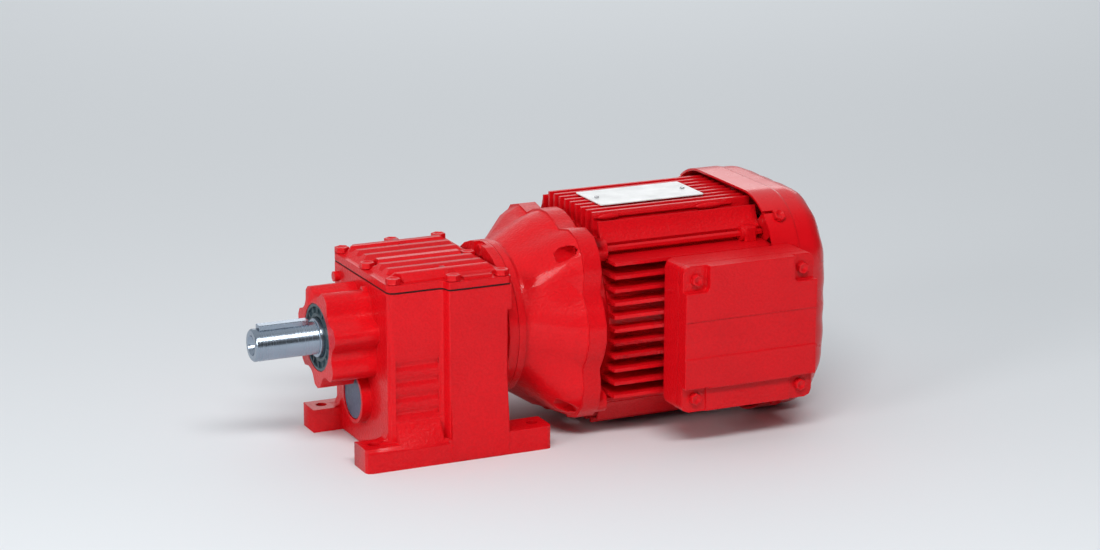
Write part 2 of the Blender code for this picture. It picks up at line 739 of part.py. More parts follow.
def housing_plan(rear, inset=0.0):
    """Plan of the housing walls, seen from above: narrow in front, wider behind the step."""
    narrow, wide, corner = HOUSING_HALF_FRONT - inset, HOUSING_HALF_REAR - inset, HOUSING_CORNER
    front, step = HOUSING_FRONT + inset, HOUSING_STEP + inset
    side = arc((front + corner, narrow - corner), corner, 180, 90, 3)
    side += arc((step - corner, narrow + corner), corner, -90, 0, 3)[:-1]
    side += [(step, wide - STEP_CHAMFER), (step + STEP_CHAMFER, wide)]
    side += [(rear - PLAN_CHAMFER, wide), (rear, wide - PLAN_CHAMFER)]
    return side + [(x, -y) for x, y in reversed(side)]


def flange_neck():
    """The round flange's outline, cut level with the housing so that the cover passes over it."""
    level = HOUSING_TOP - SHAFT_Z
    return [(across, up) for across, up in circle(FLANGE_NECK_RADIUS, LARGE_STEPS) if up < level]


def side_ridges(side):
    """Cutter with a saw-tooth edge that leaves the horizontal ridges low on a narrow side wall."""
    outer = HOUSING_HALF_FRONT + OVERLAP
    points = [(side * outer, RIDGE_TOP)]
    for i in range(RIDGE_COUNT):
        top = RIDGE_TOP - i * RIDGE_PITCH
        points.append((side * HOUSING_HALF_FRONT, top))
        points.append((side * (HOUSING_HALF_FRONT - RIDGE_DEPTH), top - 0.35 * RIDGE_PITCH))
        points.append((side * (HOUSING_HALF_FRONT - RIDGE_DEPTH), top - 0.6 * RIDGE_PITCH))
    low = RIDGE_TOP - RIDGE_COUNT * RIDGE_PITCH
    points += [(side * HOUSING_HALF_FRONT, low), (side * outer, low)]
    return prism(points, HOUSING_FRONT + HOUSING_CORNER, HOUSING_STEP - HOUSING_CORNER)


def foot_plan():
    """Plan of the foot plate: two rails with round ends, joined under the housing."""
    inner, outer, corner = FOOT_WIDTH / 2 - FOOT_RAIL, FOOT_WIDTH / 2, FOOT_CORNER
    front, rear = -FOOT_LENGTH / 2, FOOT_LENGTH / 2
    half = [(HOUSING_FRONT + OVERLAP, inner), (front, inner)]
    half += arc((front + corner, outer - corner), corner, 180, 90, 3)
    half += arc((rear - corner, outer - corner), corner, 90, 0, 3)
    half += [(rear, inner), (HOUSING_REAR - OVERLAP, inner)]
    return half + [(x, -y) for x, y in reversed(half)]


def foot_flanks(housing):
    """The slopes that run from the side walls out to the feet, and the fillets in front of them."""
    outer = FOOT_WIDTH / 2
    fall = (FRONT_SLOPE_HIGH - FRONT_SLOPE_LOW) / (outer - HOUSING_HALF_FRONT)
    for side in (-1, 1):
        low = FRONT_SLOPE_LOW - FRONT_SLOPE_PROUD
        top = FOOT_HEIGHT + OVERLAP
        inner = outer - (top - low) / fall
        edge = [(side * inner, top), (side * (outer + OVERLAP), low - fall * OVERLAP)]
        edge.append((side * (outer + OVERLAP), top))
        cut(housing, prism(edge, FOOT_FRONT - OVERLAP, HOUSING_STEP - OVERLAP))
        deep = side * (HOUSING_HALF_FRONT - SIDE_WALL / 2)
        foot, wall = side * (outer - OVERLAP), side * (HOUSING_HALF_FRONT - OVERLAP)
        slope = [(deep, OVERLAP), (foot, OVERLAP), (foot, FRONT_SLOPE_LOW + fall * OVERLAP)]
        slope += [(wall, FRONT_SLOPE_HIGH + fall * OVERLAP), (deep, FRONT_SLOPE_HIGH + fall * OVERLAP)]
        join(housing, prism(slope, HOUSING_FRONT + HOUSING_CORNER, HOUSING_STEP - SLOPE_GROOVE))
        root, face = FOOT_HEIGHT - OVERLAP, HOUSING_FRONT + OVERLAP
        centre = (HOUSING_FRONT - FOOT_FILLET, FOOT_HEIGHT + FOOT_FILLET)
        fillet = [(face, root), (centre[0], root), *arc(centre, FOOT_FILLET, -90, 0, 3), (face, centre[1])]
        rail = FOOT_WIDTH / 2 - FOOT_RAIL
        ends = sorted((side * (rail + OVERLAP), side * (HOUSING_HALF_FRONT - HOUSING_CORNER)))
        join(housing, prism([(z, x) for x, z in fillet], *ends, "Y"))
        foot, wall = side * (outer + REAR_SLOPE_PROUD), side * (HOUSING_HALF_REAR - OVERLAP)
        flare = [(deep, OVERLAP), (foot, OVERLAP), (foot, REAR_SLOPE_LOW), (wall, REAR_SLOPE_HIGH)]
        flare.append((deep, REAR_SLOPE_HIGH))
        join(housing, prism(flare, HOUSING_STEP + OVERLAP, HOUSING_REAR - OVERLAP))


def gear_housing():
    top = HOUSING_TOP
    housing = prism(foot_plan(), 0, FOOT_HEIGHT, "Z")
    ledge_low = top - REAR_LEDGE_HEIGHT
    ledge_half = HOUSING_HALF_REAR
    join(
        housing,
        prism(housing_plan(HOUSING_REAR), OVERLAP, top, "Z"),
        block((INNER_REAR, -ledge_half, ledge_low), (LEDGE_REAR, ledge_half, top)),
        prism(rosette(), BOSS_FACE, HOUSING_FRONT + OVERLAP, "X", (0, SHAFT_Z)),
        rod(CAP_BOSS_FACE, HOUSING_FRONT + OVERLAP, COUNTER_BEARING[0] + CAP_BOSS_WALL, COUNTER_Z),
        prism(flange_neck(), HOUSING_REAR - OVERLAP, LEDGE_REAR + 2 * OVERLAP, "X", (0, SHAFT_Z)),
        rod(FLANGE_FRONT, FLANGE_FACE, FLANGE_RADIUS, SHAFT_Z, steps=LARGE_STEPS),
        rod(
            HOUSING_REAR - 2 * OVERLAP,
            FLANGE_FRONT + 3 * OVERLAP,
            COUNTER_BEARING[0] + REAR_BOSS_WALL,
            COUNTER_Z,
        ),
    )
    for pip_y, below in WALL_PIPS:
        pip_front = HOUSING_FRONT - WALL_PIP_OUT
        pip_z = top - below
        join(housing, rod(pip_front, HOUSING_FRONT + OVERLAP, WALL_PIP_RADIUS, pip_z, pip_y, POCKET_STEPS))
    foot_flanks(housing)
    cut_housing(housing)
    return finish(housing, "gear_housing", CAST_RED)


def cut_housing(housing):
    top, above = HOUSING_TOP, HOUSING_TOP + OVERLAP
    rim_low = top - RIM_DEPTH
    floor = FLOOR_THICKNESS
    narrow, wide = HOUSING_HALF_FRONT - SIDE_WALL, HOUSING_HALF_REAR - SIDE_WALL
    cut(
        housing,
        side_ridges(-1),
        side_ridges(1),
        block((INNER_FRONT, -narrow, floor), (WEB_FRONT, narrow, rim_low + OVERLAP)),
        block((WEB_REAR, -wide, floor), (INNER_REAR, wide, rim_low + OVERLAP)),
    )
    front_half, rear_half = HOUSING_HALF_FRONT - RIM_WIDTH, HOUSING_HALF_REAR - RIM_WIDTH
    step = HOUSING_STEP + RIM_WIDTH
    opening = [(HOUSING_FRONT + RIM_WIDTH, front_half), (step, front_half), (step, rear_half)]
    opening.append((INNER_REAR - OVERLAP, rear_half))
    opening += [(x, -y) for x, y in reversed(opening)]
    cut(housing, prism(opening, rim_low, above, "Z"))
    seal_end = SEAL_FRONT + SEAL_WIDTH + FIT
    seal_seat, seal_shoulder = SEAL_RADIUS + FIT, SEAL_RADIUS - BORE_SHOULDER
    front_start, front_pocket = FRONT_BEARING_X - FIT, OUTPUT_FRONT_BEARING[0] + FIT
    front_bore = [(BOSS_FACE - OVERLAP, 0), (BOSS_FACE - OVERLAP, seal_seat), (seal_end, seal_seat)]
    front_bore += [(seal_end, seal_shoulder), (front_start, seal_shoulder), (front_start, front_pocket)]
    front_bore += [(INNER_FRONT + OVERLAP, front_pocket), (INNER_FRONT + OVERLAP, 0)]
    web_step, web_pocket = WEB_REAR - WEB_SHOULDER, OUTPUT_REAR_BEARING[0] + FIT
    web_hole = OUTPUT_REAR_BEARING[0] - WEB_SHOULDER
    web_bore = [(WEB_FRONT - OVERLAP, 0), (WEB_FRONT - OVERLAP, web_pocket), (web_step, web_pocket)]
    web_bore += [(web_step, web_hole), (WEB_REAR + OVERLAP, web_hole), (WEB_REAR + OVERLAP, 0)]
    register, seat = FLANGE_FACE - REGISTER_DEPTH, REGISTER_RADIUS + FIT
    motor_bore = [(INNER_REAR - OVERLAP, 0), (INNER_REAR - OVERLAP, FLANGE_BORE), (register, FLANGE_BORE)]
    motor_bore += [(register, seat), (FLANGE_FACE + OVERLAP, seat), (FLANGE_FACE + OVERLAP, 0)]
    counter_pocket = clear_radius(COUNTER_BEARING[0], SEAT_STEPS)
    counter_end = COUNTER_REAR_BEARING_X + COUNTER_BEARING[1] + FIT
    cut(
        housing,
        turned(front_bore, SHAFT_Z),
        turned(web_bore, SHAFT_Z),
        turned(motor_bore, SHAFT_Z, LARGE_STEPS),
        rod(CAP_BOSS_FACE - OVERLAP, INNER_FRONT + OVERLAP, counter_pocket, COUNTER_Z),
        rod(WEB_FRONT - OVERLAP, WEB_REAR + OVERLAP, WEB_SHAFT_HOLE, COUNTER_Z, steps=INNER_STEPS),
        rod(INNER_REAR - OVERLAP, counter_end, counter_pocket, COUNTER_Z),
    )
    for x, y in COVER_BOLTS:
        depth = COVER_BOLT_LENGTH
        spot = (x, y, top - depth / 2 + OVERLAP)
        cut(housing, drum(spot, clear_radius(COVER_BOLT[2]), depth, "Z", BOLT_STEPS))
    for x in (-FOOT_PITCH_X / 2, FOOT_PITCH_X / 2):
        for y in (-FOOT_PITCH_Y / 2, FOOT_PITCH_Y / 2):
            spot = (x, y, FOOT_HEIGHT / 2)
            cut(housing, drum(spot, FOOT_HOLE_RADIUS, FOOT_HEIGHT * FOOT_CUT_PAST, "Z", FOOT_HOLE_STEPS))
    head_radius, head_height, shank = FLANGE_BOLT
    for number, (y, z) in enumerate(flange_bolt_places()):
        start = LEDGE_REAR if number == 0 else INNER_REAR
        cut(housing, rod(start - OVERLAP, FLANGE_FACE + OVERLAP, clear_radius(shank), z, y, BOLT_STEPS))
        if number == 0:
            room = head_radius + NOTCH_ROOM
            low = (LEDGE_REAR - OVERLAP, y - room, z - room)
            cut(housing, block(low, (flange_bolt_seat(), y + room, SHAFT_Z + FLANGE_RADIUS + OVERLAP)))


def flange_bolt_seat():
    """Where the top flange bolt's head rests, behind the cover's rear edge."""
    return FLANGE_FRONT + FLANGE_BOLT[1] + 2 * FIT


def flange_bolt_places():
    """Across and height of each motor flange bolt, the first at the top."""
    angles = [math.pi / 2 + 2 * math.pi * i / FLANGE_BOLT_COUNT for i in range(FLANGE_BOLT_COUNT)]
    return [
        (FLANGE_BOLT_CIRCLE * math.cos(a), SHAFT_Z + FLANGE_BOLT_CIRCLE * math.sin(a)) for a in angles
    ]


def cover_and_gasket():
    gasket_low = HOUSING_TOP + FIT
    holes = [circle(clear_radius(COVER_BOLT[2]), BOLT_STEPS, (x, y)) for x, y in COVER_BOLTS]
    front_half, rear_half = HOUSING_HALF_FRONT - RIM_WIDTH, HOUSING_HALF_REAR - RIM_WIDTH
    step = HOUSING_STEP + RIM_WIDTH
    opening = [(HOUSING_FRONT + RIM_WIDTH, front_half), (step, front_half), (step, rear_half)]
    opening.append((INNER_REAR - OVERLAP, rear_half))
    opening += [(x, -y) for x, y in reversed(opening)]
    plan = housing_plan(LEDGE_REAR, 0.0003)
    gasket = flat([plan, opening, *holes], gasket_low, gasket_low + GASKET_THICKNESS, "Z")
    finish(gasket, "cover_gasket", GASKET_DARK)

    low = gasket_low + GASKET_THICKNESS + FIT
    seat = low + COVER_FLANGE
    cover = prism(housing_plan(LEDGE_REAR), low, seat, "Z")
    plateau = seat + COVER_PLATEAU
    half = HOUSING_HALF_FRONT - COVER_EDGE / 2
    pitch = 2 * half / COVER_RIB_COUNT
    wave = [(-half, seat - OVERLAP), (-half, plateau - OVERLAP)]
    for i in range(COVER_RIB_COUNT):
        left = -half + i * pitch
        crest = plateau + COVER_RIB_HEIGHT
        wave += [(left + 0.18 * pitch, plateau), (left + 0.32 * pitch, crest)]
        wave += [(left + 0.68 * pitch, crest), (left + 0.82 * pitch, plateau)]
    wave += [(half, plateau - OVERLAP), (half, seat - OVERLAP)]
    ribs = prism(wave, HOUSING_FRONT + COVER_EDGE / 2, LEDGE_REAR - COVER_EDGE / 2)
    slope = COVER_PLATEAU + COVER_RIB_HEIGHT + 2 * OVERLAP
    for end, way in ((HOUSING_FRONT, 1), (LEDGE_REAR, -1)):
        wedge = [(end, seat), (end + way * COVER_EDGE / 2, seat)]
        wedge += [(end + way * (COVER_EDGE / 2 + slope), seat + slope), (end, seat + slope)]
        # the wedge is drawn in the XZ plane, so across is Z here
        cut(ribs, prism([(z, x) for x, z in wedge], -half - OVERLAP, half + OVERLAP, "Y"))
    side_plate = block(
        (HOUSING_STEP + COVER_EDGE / 2, -HOUSING_HALF_REAR + COVER_EDGE / 2, seat - OVERLAP),
        (LEDGE_REAR - COVER_EDGE / 2, HOUSING_HALF_REAR - COVER_EDGE / 2, plateau - OVERLAP),
    )
    join(cover, side_plate, ribs)
    spur_x = HOUSING_STEP + COVER_BOLT_INSET
    for side in (-1, 1):
        ends = sorted((side * (half - pitch), side * (HOUSING_HALF_REAR - COVER_BOLT_INSET)))
        spur = [(seat - OVERLAP, spur_x - COVER_SPUR), (seat - OVERLAP, spur_x + COVER_SPUR)]
        crest = plateau + COVER_RIB_HEIGHT - FIT
        spur += [(crest, spur_x + COVER_SPUR / 2), (crest, spur_x - COVER_SPUR / 2)]
        join(cover, prism(spur, *ends, "Y"))
    for x, y in COVER_BOLTS:
        height = COVER_PLATEAU + COVER_RIB_HEIGHT + OVERLAP
        cut(
            cover,
            drum((x, y, seat + height / 2), COVER_POCKET_RADIUS, height, "Z", POCKET_STEPS),
            drum((x, y, (low + seat) / 2), clear_radius(COVER_BOLT[2]), 2 * COVER_FLANGE, "Z", BOLT_STEPS),
        )
    finish(cover, "housing_cover", CAST_RED)
    mesh = hex_bolt_mesh(COVER_BOLT, COVER_FLANGE + GASKET_THICKNESS + COVER_BOLT_LENGTH * 0.6)
    bolt_copies("cover_bolt", mesh, CAST_RED, [at_point(x, y, seat + FIT) for x, y in COVER_BOLTS])


def seal_cap_and_bearings():
    inner = SHAFT_SEAL_RADIUS + FIT
    rear = SEAL_FRONT + SEAL_WIDTH
    dish = SEAL_FRONT + SEAL_LIP_DEPTH
    profile = [(SEAL_FRONT, SEAL_RADIUS), (SEAL_FRONT, SEAL_RADIUS - SEAL_RIM)]
    profile += [(dish, SEAL_RADIUS - 1.3 * SEAL_RIM), (dish, inner + SEAL_RIM)]
    profile += [(SEAL_FRONT + SEAL_LIP_DEPTH / 2, inner), (rear, inner), (rear, SEAL_RADIUS)]
    finish(turned(profile, SHAFT_Z), "output_seal", SEAL_RUBBER)
    radius = COUNTER_BEARING[0]
    back = CAP_FRONT + CAP_THICKNESS
    cap = [(CAP_FRONT, 0), (CAP_FRONT, radius - CAP_LIP), (CAP_FRONT + CAP_LIP, radius)]
    finish(turned(cap + [(back, radius), (back, 0)], COUNTER_Z), "countershaft_cap", CAP_BLUE)
    output_front = ("output_bearing_front", OUTPUT_FRONT_BEARING, SHAFT_SEAL_RADIUS, FRONT_BEARING_X)
    output_rear = ("output_bearing_rear", OUTPUT_REAR_BEARING, SHAFT_REAR_RADIUS, REAR_BEARING_X)
    for values in (output_front, output_rear):
        bearing(*values, SHAFT_Z, SEAT_STEPS)
    for name, x in (("front", COUNTER_FRONT_BEARING_X), ("rear", COUNTER_REAR_BEARING_X)):
        bearing("countershaft_bearing_" + name, COUNTER_BEARING, COUNTER_SEAT_RADIUS, x, COUNTER_Z)
    bearing("motor_bearing_front", MOTOR_FRONT_BEARING, MOTOR_SEAT_RADIUS, MOTOR_BEARING_X, SHAFT_Z)
    bearing("motor_bearing_rear", MOTOR_REAR_BEARING, ROTOR_REAR_SEAT, MOTOR_REAR_BEARING_X, SHAFT_Z)


# Output shaft, gear and key, and the countershaft


def output_set():
    front_seat_end = FRONT_BEARING_X + OUTPUT_FRONT_BEARING[1] + FIT
    gear_seat_end = GEAR_REAR
    rear_end = REAR_BEARING_X + OUTPUT_REAR_BEARING[1]
    chamfer = SHAFT_CHAMFER
    profile = [
        (SHAFT_END + CENTRE_HOLE_DEPTH, 0),
        (SHAFT_END + CENTRE_HOLE_DEPTH, CENTRE_HOLE_RADIUS),
        (SHAFT_END + CENTRE_SINK_DEPTH, CENTRE_HOLE_RADIUS),
        (SHAFT_END, CENTRE_SINK_RADIUS),
        (SHAFT_END, SHAFT_RADIUS - chamfer),
        (SHAFT_END + chamfer, SHAFT_RADIUS),
        (SHAFT_SHOULDER, SHAFT_RADIUS),
        (SHAFT_SHOULDER + chamfer, SHAFT_SEAL_RADIUS),
        (front_seat_end, SHAFT_SEAL_RADIUS),
        (front_seat_end, SHAFT_COLLAR_RADIUS),
        (GEAR_FRONT - FIT, SHAFT_COLLAR_RADIUS),
        (GEAR_FRONT - FIT, GEAR_SEAT_RADIUS),
        (gear_seat_end, GEAR_SEAT_RADIUS),
        (gear_seat_end, SHAFT_REAR_RADIUS),
        (rear_end, SHAFT_REAR_RADIUS),
        (rear_end, 0),
    ]
    shaft = turned(profile, SHAFT_Z)
    key_start = SHAFT_END + KEY_FROM_END
    key_floor = SHAFT_Z + SHAFT_RADIUS - KEY_DEPTH
    slot = rounded((KEY_LENGTH + 2 * FIT) / 2, KEY_WIDTH / 2 + FIT, FIT, 2, (key_start + KEY_LENGTH / 2, 0))
    cut(shaft, prism(slot, key_floor - FIT, SHAFT_Z + SHAFT_SEAL_RADIUS + OVERLAP, "Z"))
    finish(shaft, "output_shaft", BRIGHT_STEEL)
    key = prism(
        rounded(KEY_LENGTH / 2, KEY_WIDTH / 2, KEY_CORNER, 2, (key_start + KEY_LENGTH / 2, 0)),
        key_floor,
        key_floor + KEY_HEIGHT,
        "Z",
    )
    finish(key, "output_key", BRIGHT_STEEL)
    pitch = STAGE_TWO_MODULE * OUTPUT_GEAR_TEETH / 2
    outline = gear_outline(OUTPUT_GEAR_TEETH, STAGE_TWO_MODULE, 2, -math.pi / 2)
    gear = helical_gear(outline, GEAR_FRONT, STAGE_TWO_WIDTH, pitch, 1, 1, SHAFT_Z)
    cut(gear, rod(GEAR_FRONT - OVERLAP, GEAR_REAR + OVERLAP, GEAR_SEAT_RADIUS + FIT, SHAFT_Z))
    finish(gear, "output_gear", GEAR_STEEL)
    return shaft, key, gear


def countershaft_set():
    pitch = STAGE_TWO_MODULE * COUNTER_PINION_TEETH / 2
    first = math.pi / 2 + math.pi / COUNTER_PINION_TEETH
    outline = gear_outline(COUNTER_PINION_TEETH, STAGE_TWO_MODULE, 2, first)
    shaft = helical_gear(outline, GEAR_FRONT, STAGE_TWO_WIDTH, pitch, -1, 2, COUNTER_Z)
    front, front_seat = COUNTER_FRONT_BEARING_X + FIT, COUNTER_FRONT_BEARING_X + COUNTER_BEARING[1] + FIT
    rear = COUNTER_REAR_BEARING_X + COUNTER_BEARING[1] - FIT
    profile = [
        (front, 0),
        (front, COUNTER_SEAT_RADIUS),
        (front_seat, COUNTER_SEAT_RADIUS),
        (front_seat, COUNTER_BODY_RADIUS),
        (WHEEL_REAR, COUNTER_BODY_RADIUS),
        (WHEEL_REAR, COUNTER_SEAT_RADIUS),
        (rear, COUNTER_SEAT_RADIUS),
        (rear, 0),
    ]
    join(shaft, turned(profile, COUNTER_Z, INNER_STEPS))
    finish(shaft, "countershaft", GEAR_STEEL)
    pitch = STAGE_ONE_MODULE * WHEEL_TEETH / 2
    outline = gear_outline(WHEEL_TEETH, STAGE_ONE_MODULE, 2, math.pi / 2 + math.pi / WHEEL_TEETH)
    wheel = helical_gear(outline, WHEEL_FRONT, STAGE_ONE_WIDTH, pitch, -1, 1, COUNTER_Z)
    bore_radius = COUNTER_BODY_RADIUS + FIT
    cut(wheel, rod(WHEEL_FRONT - OVERLAP, WHEEL_REAR + OVERLAP, bore_radius, COUNTER_Z, steps=INNER_STEPS))
    finish(wheel, "countershaft_wheel", GEAR_STEEL)
    return shaft, wheel


# Motor


def shield_rim():
    """Outline of the end shield's rim: four ears on the diagonals, swelling sides and waists between."""
    points = []
    for i in range(RIM_POINTS):
        angle = 2 * math.pi * (i + 0.5) / RIM_POINTS
        aside = abs((angle % (math.pi / 2)) - math.pi / 4)
        ear = max(0.0, 1 - aside / math.radians(EAR_SPREAD)) ** EAR_ROUNDING
        side = 0.5 + 0.5 * math.cos(4 * angle)
        swell = RIM_SIDE_RADIUS if abs(math.cos(angle)) > abs(math.sin(angle)) else RIM_TOP_RADIUS
        radius = RIM_WAIST_RADIUS + (swell - RIM_WAIST_RADIUS) * side**2
        reach = min(1.0, EAR_FULLNESS * ear)
        radius = max(radius, RIM_WAIST_RADIUS + (EAR_RADIUS - RIM_WAIST_RADIUS) * reach)
        points.append((radius * math.cos(angle), radius * math.sin(angle)))
    return points


def bell_rings(start):
    """Rings of the bell, from its round neck out to just inside the rim's outline."""
    rings = []
    for along, swell in BELL_SWELL:
        station = start + along * (EAR_FACE + OVERLAP - start)
        ring = []
        for across, up in shield_rim():
            reach = math.hypot(across, up) - BELL_EDGE
            radius = BELL_NECK_RADIUS + (reach - BELL_NECK_RADIUS) * swell
            ring.append((radius, math.atan2(up, across), station))
        rings.append(ring)
    return rings


def motor_end_shield():
    hub = MOTOR_FRONT_BEARING[0] + FIT
    seal_front = FLANGE_FACE - REGISTER_DEPTH + FIT
    seal_bore = MOTOR_SEAL_RADIUS + FIT
    ring_rear = SHIELD_FRONT + SHIELD_RING_DEPTH
    hub_end = MOTOR_BEARING_X + MOTOR_FRONT_BEARING[1] + FIT
    bell_middle = (ring_rear + EAR_FACE) / 2
    shield = turned(
        [
            (seal_front, 0),
            (seal_front, REGISTER_RADIUS),
            (SHIELD_FRONT, REGISTER_RADIUS),
            (SHIELD_FRONT, FLANGE_RADIUS),
            (ring_rear, FLANGE_RADIUS),
            (ring_rear, 0),
        ],
        SHAFT_Z,
        LARGE_STEPS,
    )
    bell = lofted(bell_rings(ring_rear - OVERLAP), SHAFT_Z)
    join(shield, bell, prism(shield_rim(), EAR_FACE, RIM_REAR, "X", (0, SHAFT_Z)))
    seal_end, bearing_start = MOTOR_SEAL_X + MOTOR_SEAL_WIDTH + FIT, MOTOR_BEARING_X - FIT
    shoulder = MOTOR_SEAL_RADIUS - BORE_SHOULDER
    inside = [(seal_front - OVERLAP, 0), (seal_front - OVERLAP, seal_bore), (seal_end, seal_bore)]
    inside += [(seal_end, shoulder), (bearing_start, shoulder), (bearing_start, hub), (hub_end, hub)]
    inside += [(hub_end, hub + HUB_WALL), (bearing_start + BELL_WALL, hub + HUB_WALL)]
    inside += [(bearing_start + BELL_WALL, BELL_NECK_RADIUS - BELL_WALL)]
    inside += [(bell_middle, BELL_NECK_RADIUS - BELL_WALL / 2), (EAR_FACE, CORE_RADIUS + FIT)]
    inside += [(RIM_REAR + OVERLAP, CORE_RADIUS + FIT), (RIM_REAR + OVERLAP, 0)]
    cut(shield, turned(inside, SHAFT_Z, INNER_STEPS))
    tie = TIE_PITCH / 2
    diagonal = math.hypot(tie, tie)
    ear = EAR_RADIUS - diagonal
    for sy, sz in QUARTERS:
        y, z = sy * tie, SHAFT_Z + sz * tie
        join(shield, rod(RIM_REAR - OVERLAP, EAR_REAR, ear, z, y, 12))
    for sy, sz in QUARTERS:
        y, z = sy * tie, SHAFT_Z + sz * tie
        cut(
            shield,
            rod(EAR_FACE - EAR_SEAT_LENGTH, EAR_FACE + FIT, EAR_SEAT_RADIUS, z, y, POCKET_STEPS),
            rod(EAR_FACE - OVERLAP, EAR_REAR + OVERLAP, clear_radius(TIE_BOLT[2]), z, y, BOLT_STEPS),
        )
    for y, z in flange_bolt_places():
        depth = SHIELD_RING_DEPTH + OVERLAP
        hole_radius = clear_radius(FLANGE_BOLT[2])
        cut(shield, rod(SHIELD_FRONT - OVERLAP, SHIELD_FRONT + depth, hole_radius, z, y, BOLT_STEPS))
    finish(shield, "motor_end_shield", CAST_RED)
    bore = ROTOR_FRONT_RADIUS + FIT
    rear = MOTOR_SEAL_X + MOTOR_SEAL_WIDTH
    seal = [(MOTOR_SEAL_X, bore), (MOTOR_SEAL_X, MOTOR_SEAL_RADIUS), (rear, MOTOR_SEAL_RADIUS), (rear, bore)]
    finish(turned(seal, SHAFT_Z, INNER_STEPS), "motor_oil_seal", SEAL_RUBBER)
    out = ALONG["X"] @ Matrix.Rotation(math.pi, 4, "X")
    places = flange_bolt_places()
    top_seat = flange_bolt_seat() - FIT
    length = SHIELD_FRONT + SHIELD_RING_DEPTH - top_seat
    bolt_copies(
        "flange_bolt_outer",
        hex_bolt_mesh(FLANGE_BOLT, length),
        CAST_RED,
        [at_point(top_seat, places[0][0], places[0][1], out)],
    )
    long_bolt = hex_bolt_mesh(FLANGE_BOLT, SHIELD_FRONT + SHIELD_RING_DEPTH - INNER_REAR)
    bolt_copies(
        "flange_bolt_inner",
        long_bolt,
        GEAR_STEEL,
        [at_point(INNER_REAR - FIT, y, z, out) for y, z in places[1:]],
    )
    tie_length = PLATE_REAR - EAR_FACE - TIE_BOLT[1]
    tie_bolt = hex_bolt_mesh(TIE_BOLT, tie_length)
    bolt_copies(
        "tie_bolt",
        tie_bolt,
        GEAR_STEEL,
        [at_point(PLATE_REAR + FIT, sy * tie, SHAFT_Z + sz * tie, ALONG["X"]) for sy, sz in QUARTERS],
    )


def rotor_set():
    shoulder = WHEEL_REAR + FIT
    seat_front = MOTOR_BEARING_X - FIT
    body_front = MOTOR_BEARING_X + MOTOR_FRONT_BEARING[1] + FIT
    body_rear = MOTOR_REAR_BEARING_X - FIT
    fan_seat = MOTOR_REAR_BEARING_X + MOTOR_REAR_BEARING[1] + FIT
    fan_end = FAN_FRONT + FAN_HUB_LENGTH
    profile = [
        (WHEEL_FRONT - 0.001, 0),
        (WHEEL_FRONT - 0.001, PINION_SEAT_RADIUS),
        (shoulder, PINION_SEAT_RADIUS),
        (shoulder, ROTOR_FRONT_RADIUS),
        (seat_front, ROTOR_FRONT_RADIUS),
        (seat_front, MOTOR_SEAT_RADIUS),
        (body_front, MOTOR_SEAT_RADIUS),
        (body_front, ROTOR_BODY_RADIUS),
        (body_rear, ROTOR_BODY_RADIUS),
        (body_rear, ROTOR_REAR_SEAT),
        (fan_seat, ROTOR_REAR_SEAT),
        (fan_seat, FAN_SEAT_RADIUS),
        (fan_end, FAN_SEAT_RADIUS),
        (fan_end, 0),
    ]
    shaft = finish(turned(profile, SHAFT_Z, INNER_STEPS), "rotor_shaft", BRIGHT_STEEL)
    pitch = STAGE_ONE_MODULE * MOTOR_PINION_TEETH / 2
    outline = gear_outline(MOTOR_PINION_TEETH, STAGE_ONE_MODULE, 2, -math.pi / 2)
    pinion = helical_gear(outline, WHEEL_FRONT, STAGE_ONE_WIDTH, pitch, 1, 1, SHAFT_Z)
    bore_radius = PINION_SEAT_RADIUS + FIT
    cut(pinion, rod(WHEEL_FRONT - OVERLAP, WHEEL_REAR + OVERLAP, bore_radius, SHAFT_Z, steps=INNER_STEPS))
    finish(pinion, "motor_pinion", GEAR_STEEL)
    bore = ROTOR_BODY_RADIUS + FIT
    low, high = CORE_FRONT - END_RING_LENGTH, CORE_REAR + END_RING_LENGTH
    core = [(CORE_FRONT, bore), (CORE_FRONT, END_RING_INNER), (low, END_RING_INNER), (low, END_RING_OUTER)]
    core += [(CORE_FRONT, END_RING_OUTER), (CORE_FRONT, ROTOR_RADIUS), (CORE_REAR, ROTOR_RADIUS)]
    core += [(CORE_REAR, END_RING_OUTER), (high, END_RING_OUTER), (high, END_RING_INNER)]
    core += [(CORE_REAR, END_RING_INNER), (CORE_REAR, bore)]
    core = finish(turned(core, SHAFT_Z, INNER_STEPS), "rotor_core", ALUMINIUM)
    return shaft, pinion, core, fan()


def fan():
    """Straight-bladed fan: hub, back plate and radial blades, the same for both ways of turning."""
    bore = FAN_SEAT_RADIUS + FIT
    plate_rear = FAN_FRONT + FAN_PLATE
    hub_end = FAN_FRONT + FAN_HUB_LENGTH
    profile = [(FAN_FRONT, bore), (FAN_FRONT, FAN_RADIUS), (plate_rear, FAN_RADIUS)]
    profile += [(plate_rear, FAN_HUB_RADIUS), (hub_end, FAN_HUB_RADIUS), (hub_end, bore)]
    wheel = turned(profile, SHAFT_Z)
    for i in range(FAN_BLADES):
        blade = block(
            (plate_rear - OVERLAP, FAN_HUB_RADIUS - OVERLAP, -FAN_BLADE_THICKNESS / 2),
            (FAN_REAR, FAN_RADIUS - OVERLAP, FAN_BLADE_THICKNESS / 2),
        )
        turn = Matrix.Rotation(2 * math.pi * (i + 0.5) / FAN_BLADES, 4, "X")
        blade.matrix_world = at_point(0, 0, SHAFT_Z, turn)
        join(wheel, blade)
    return finish(wheel, "cooling_fan", BLACK_PLASTIC)


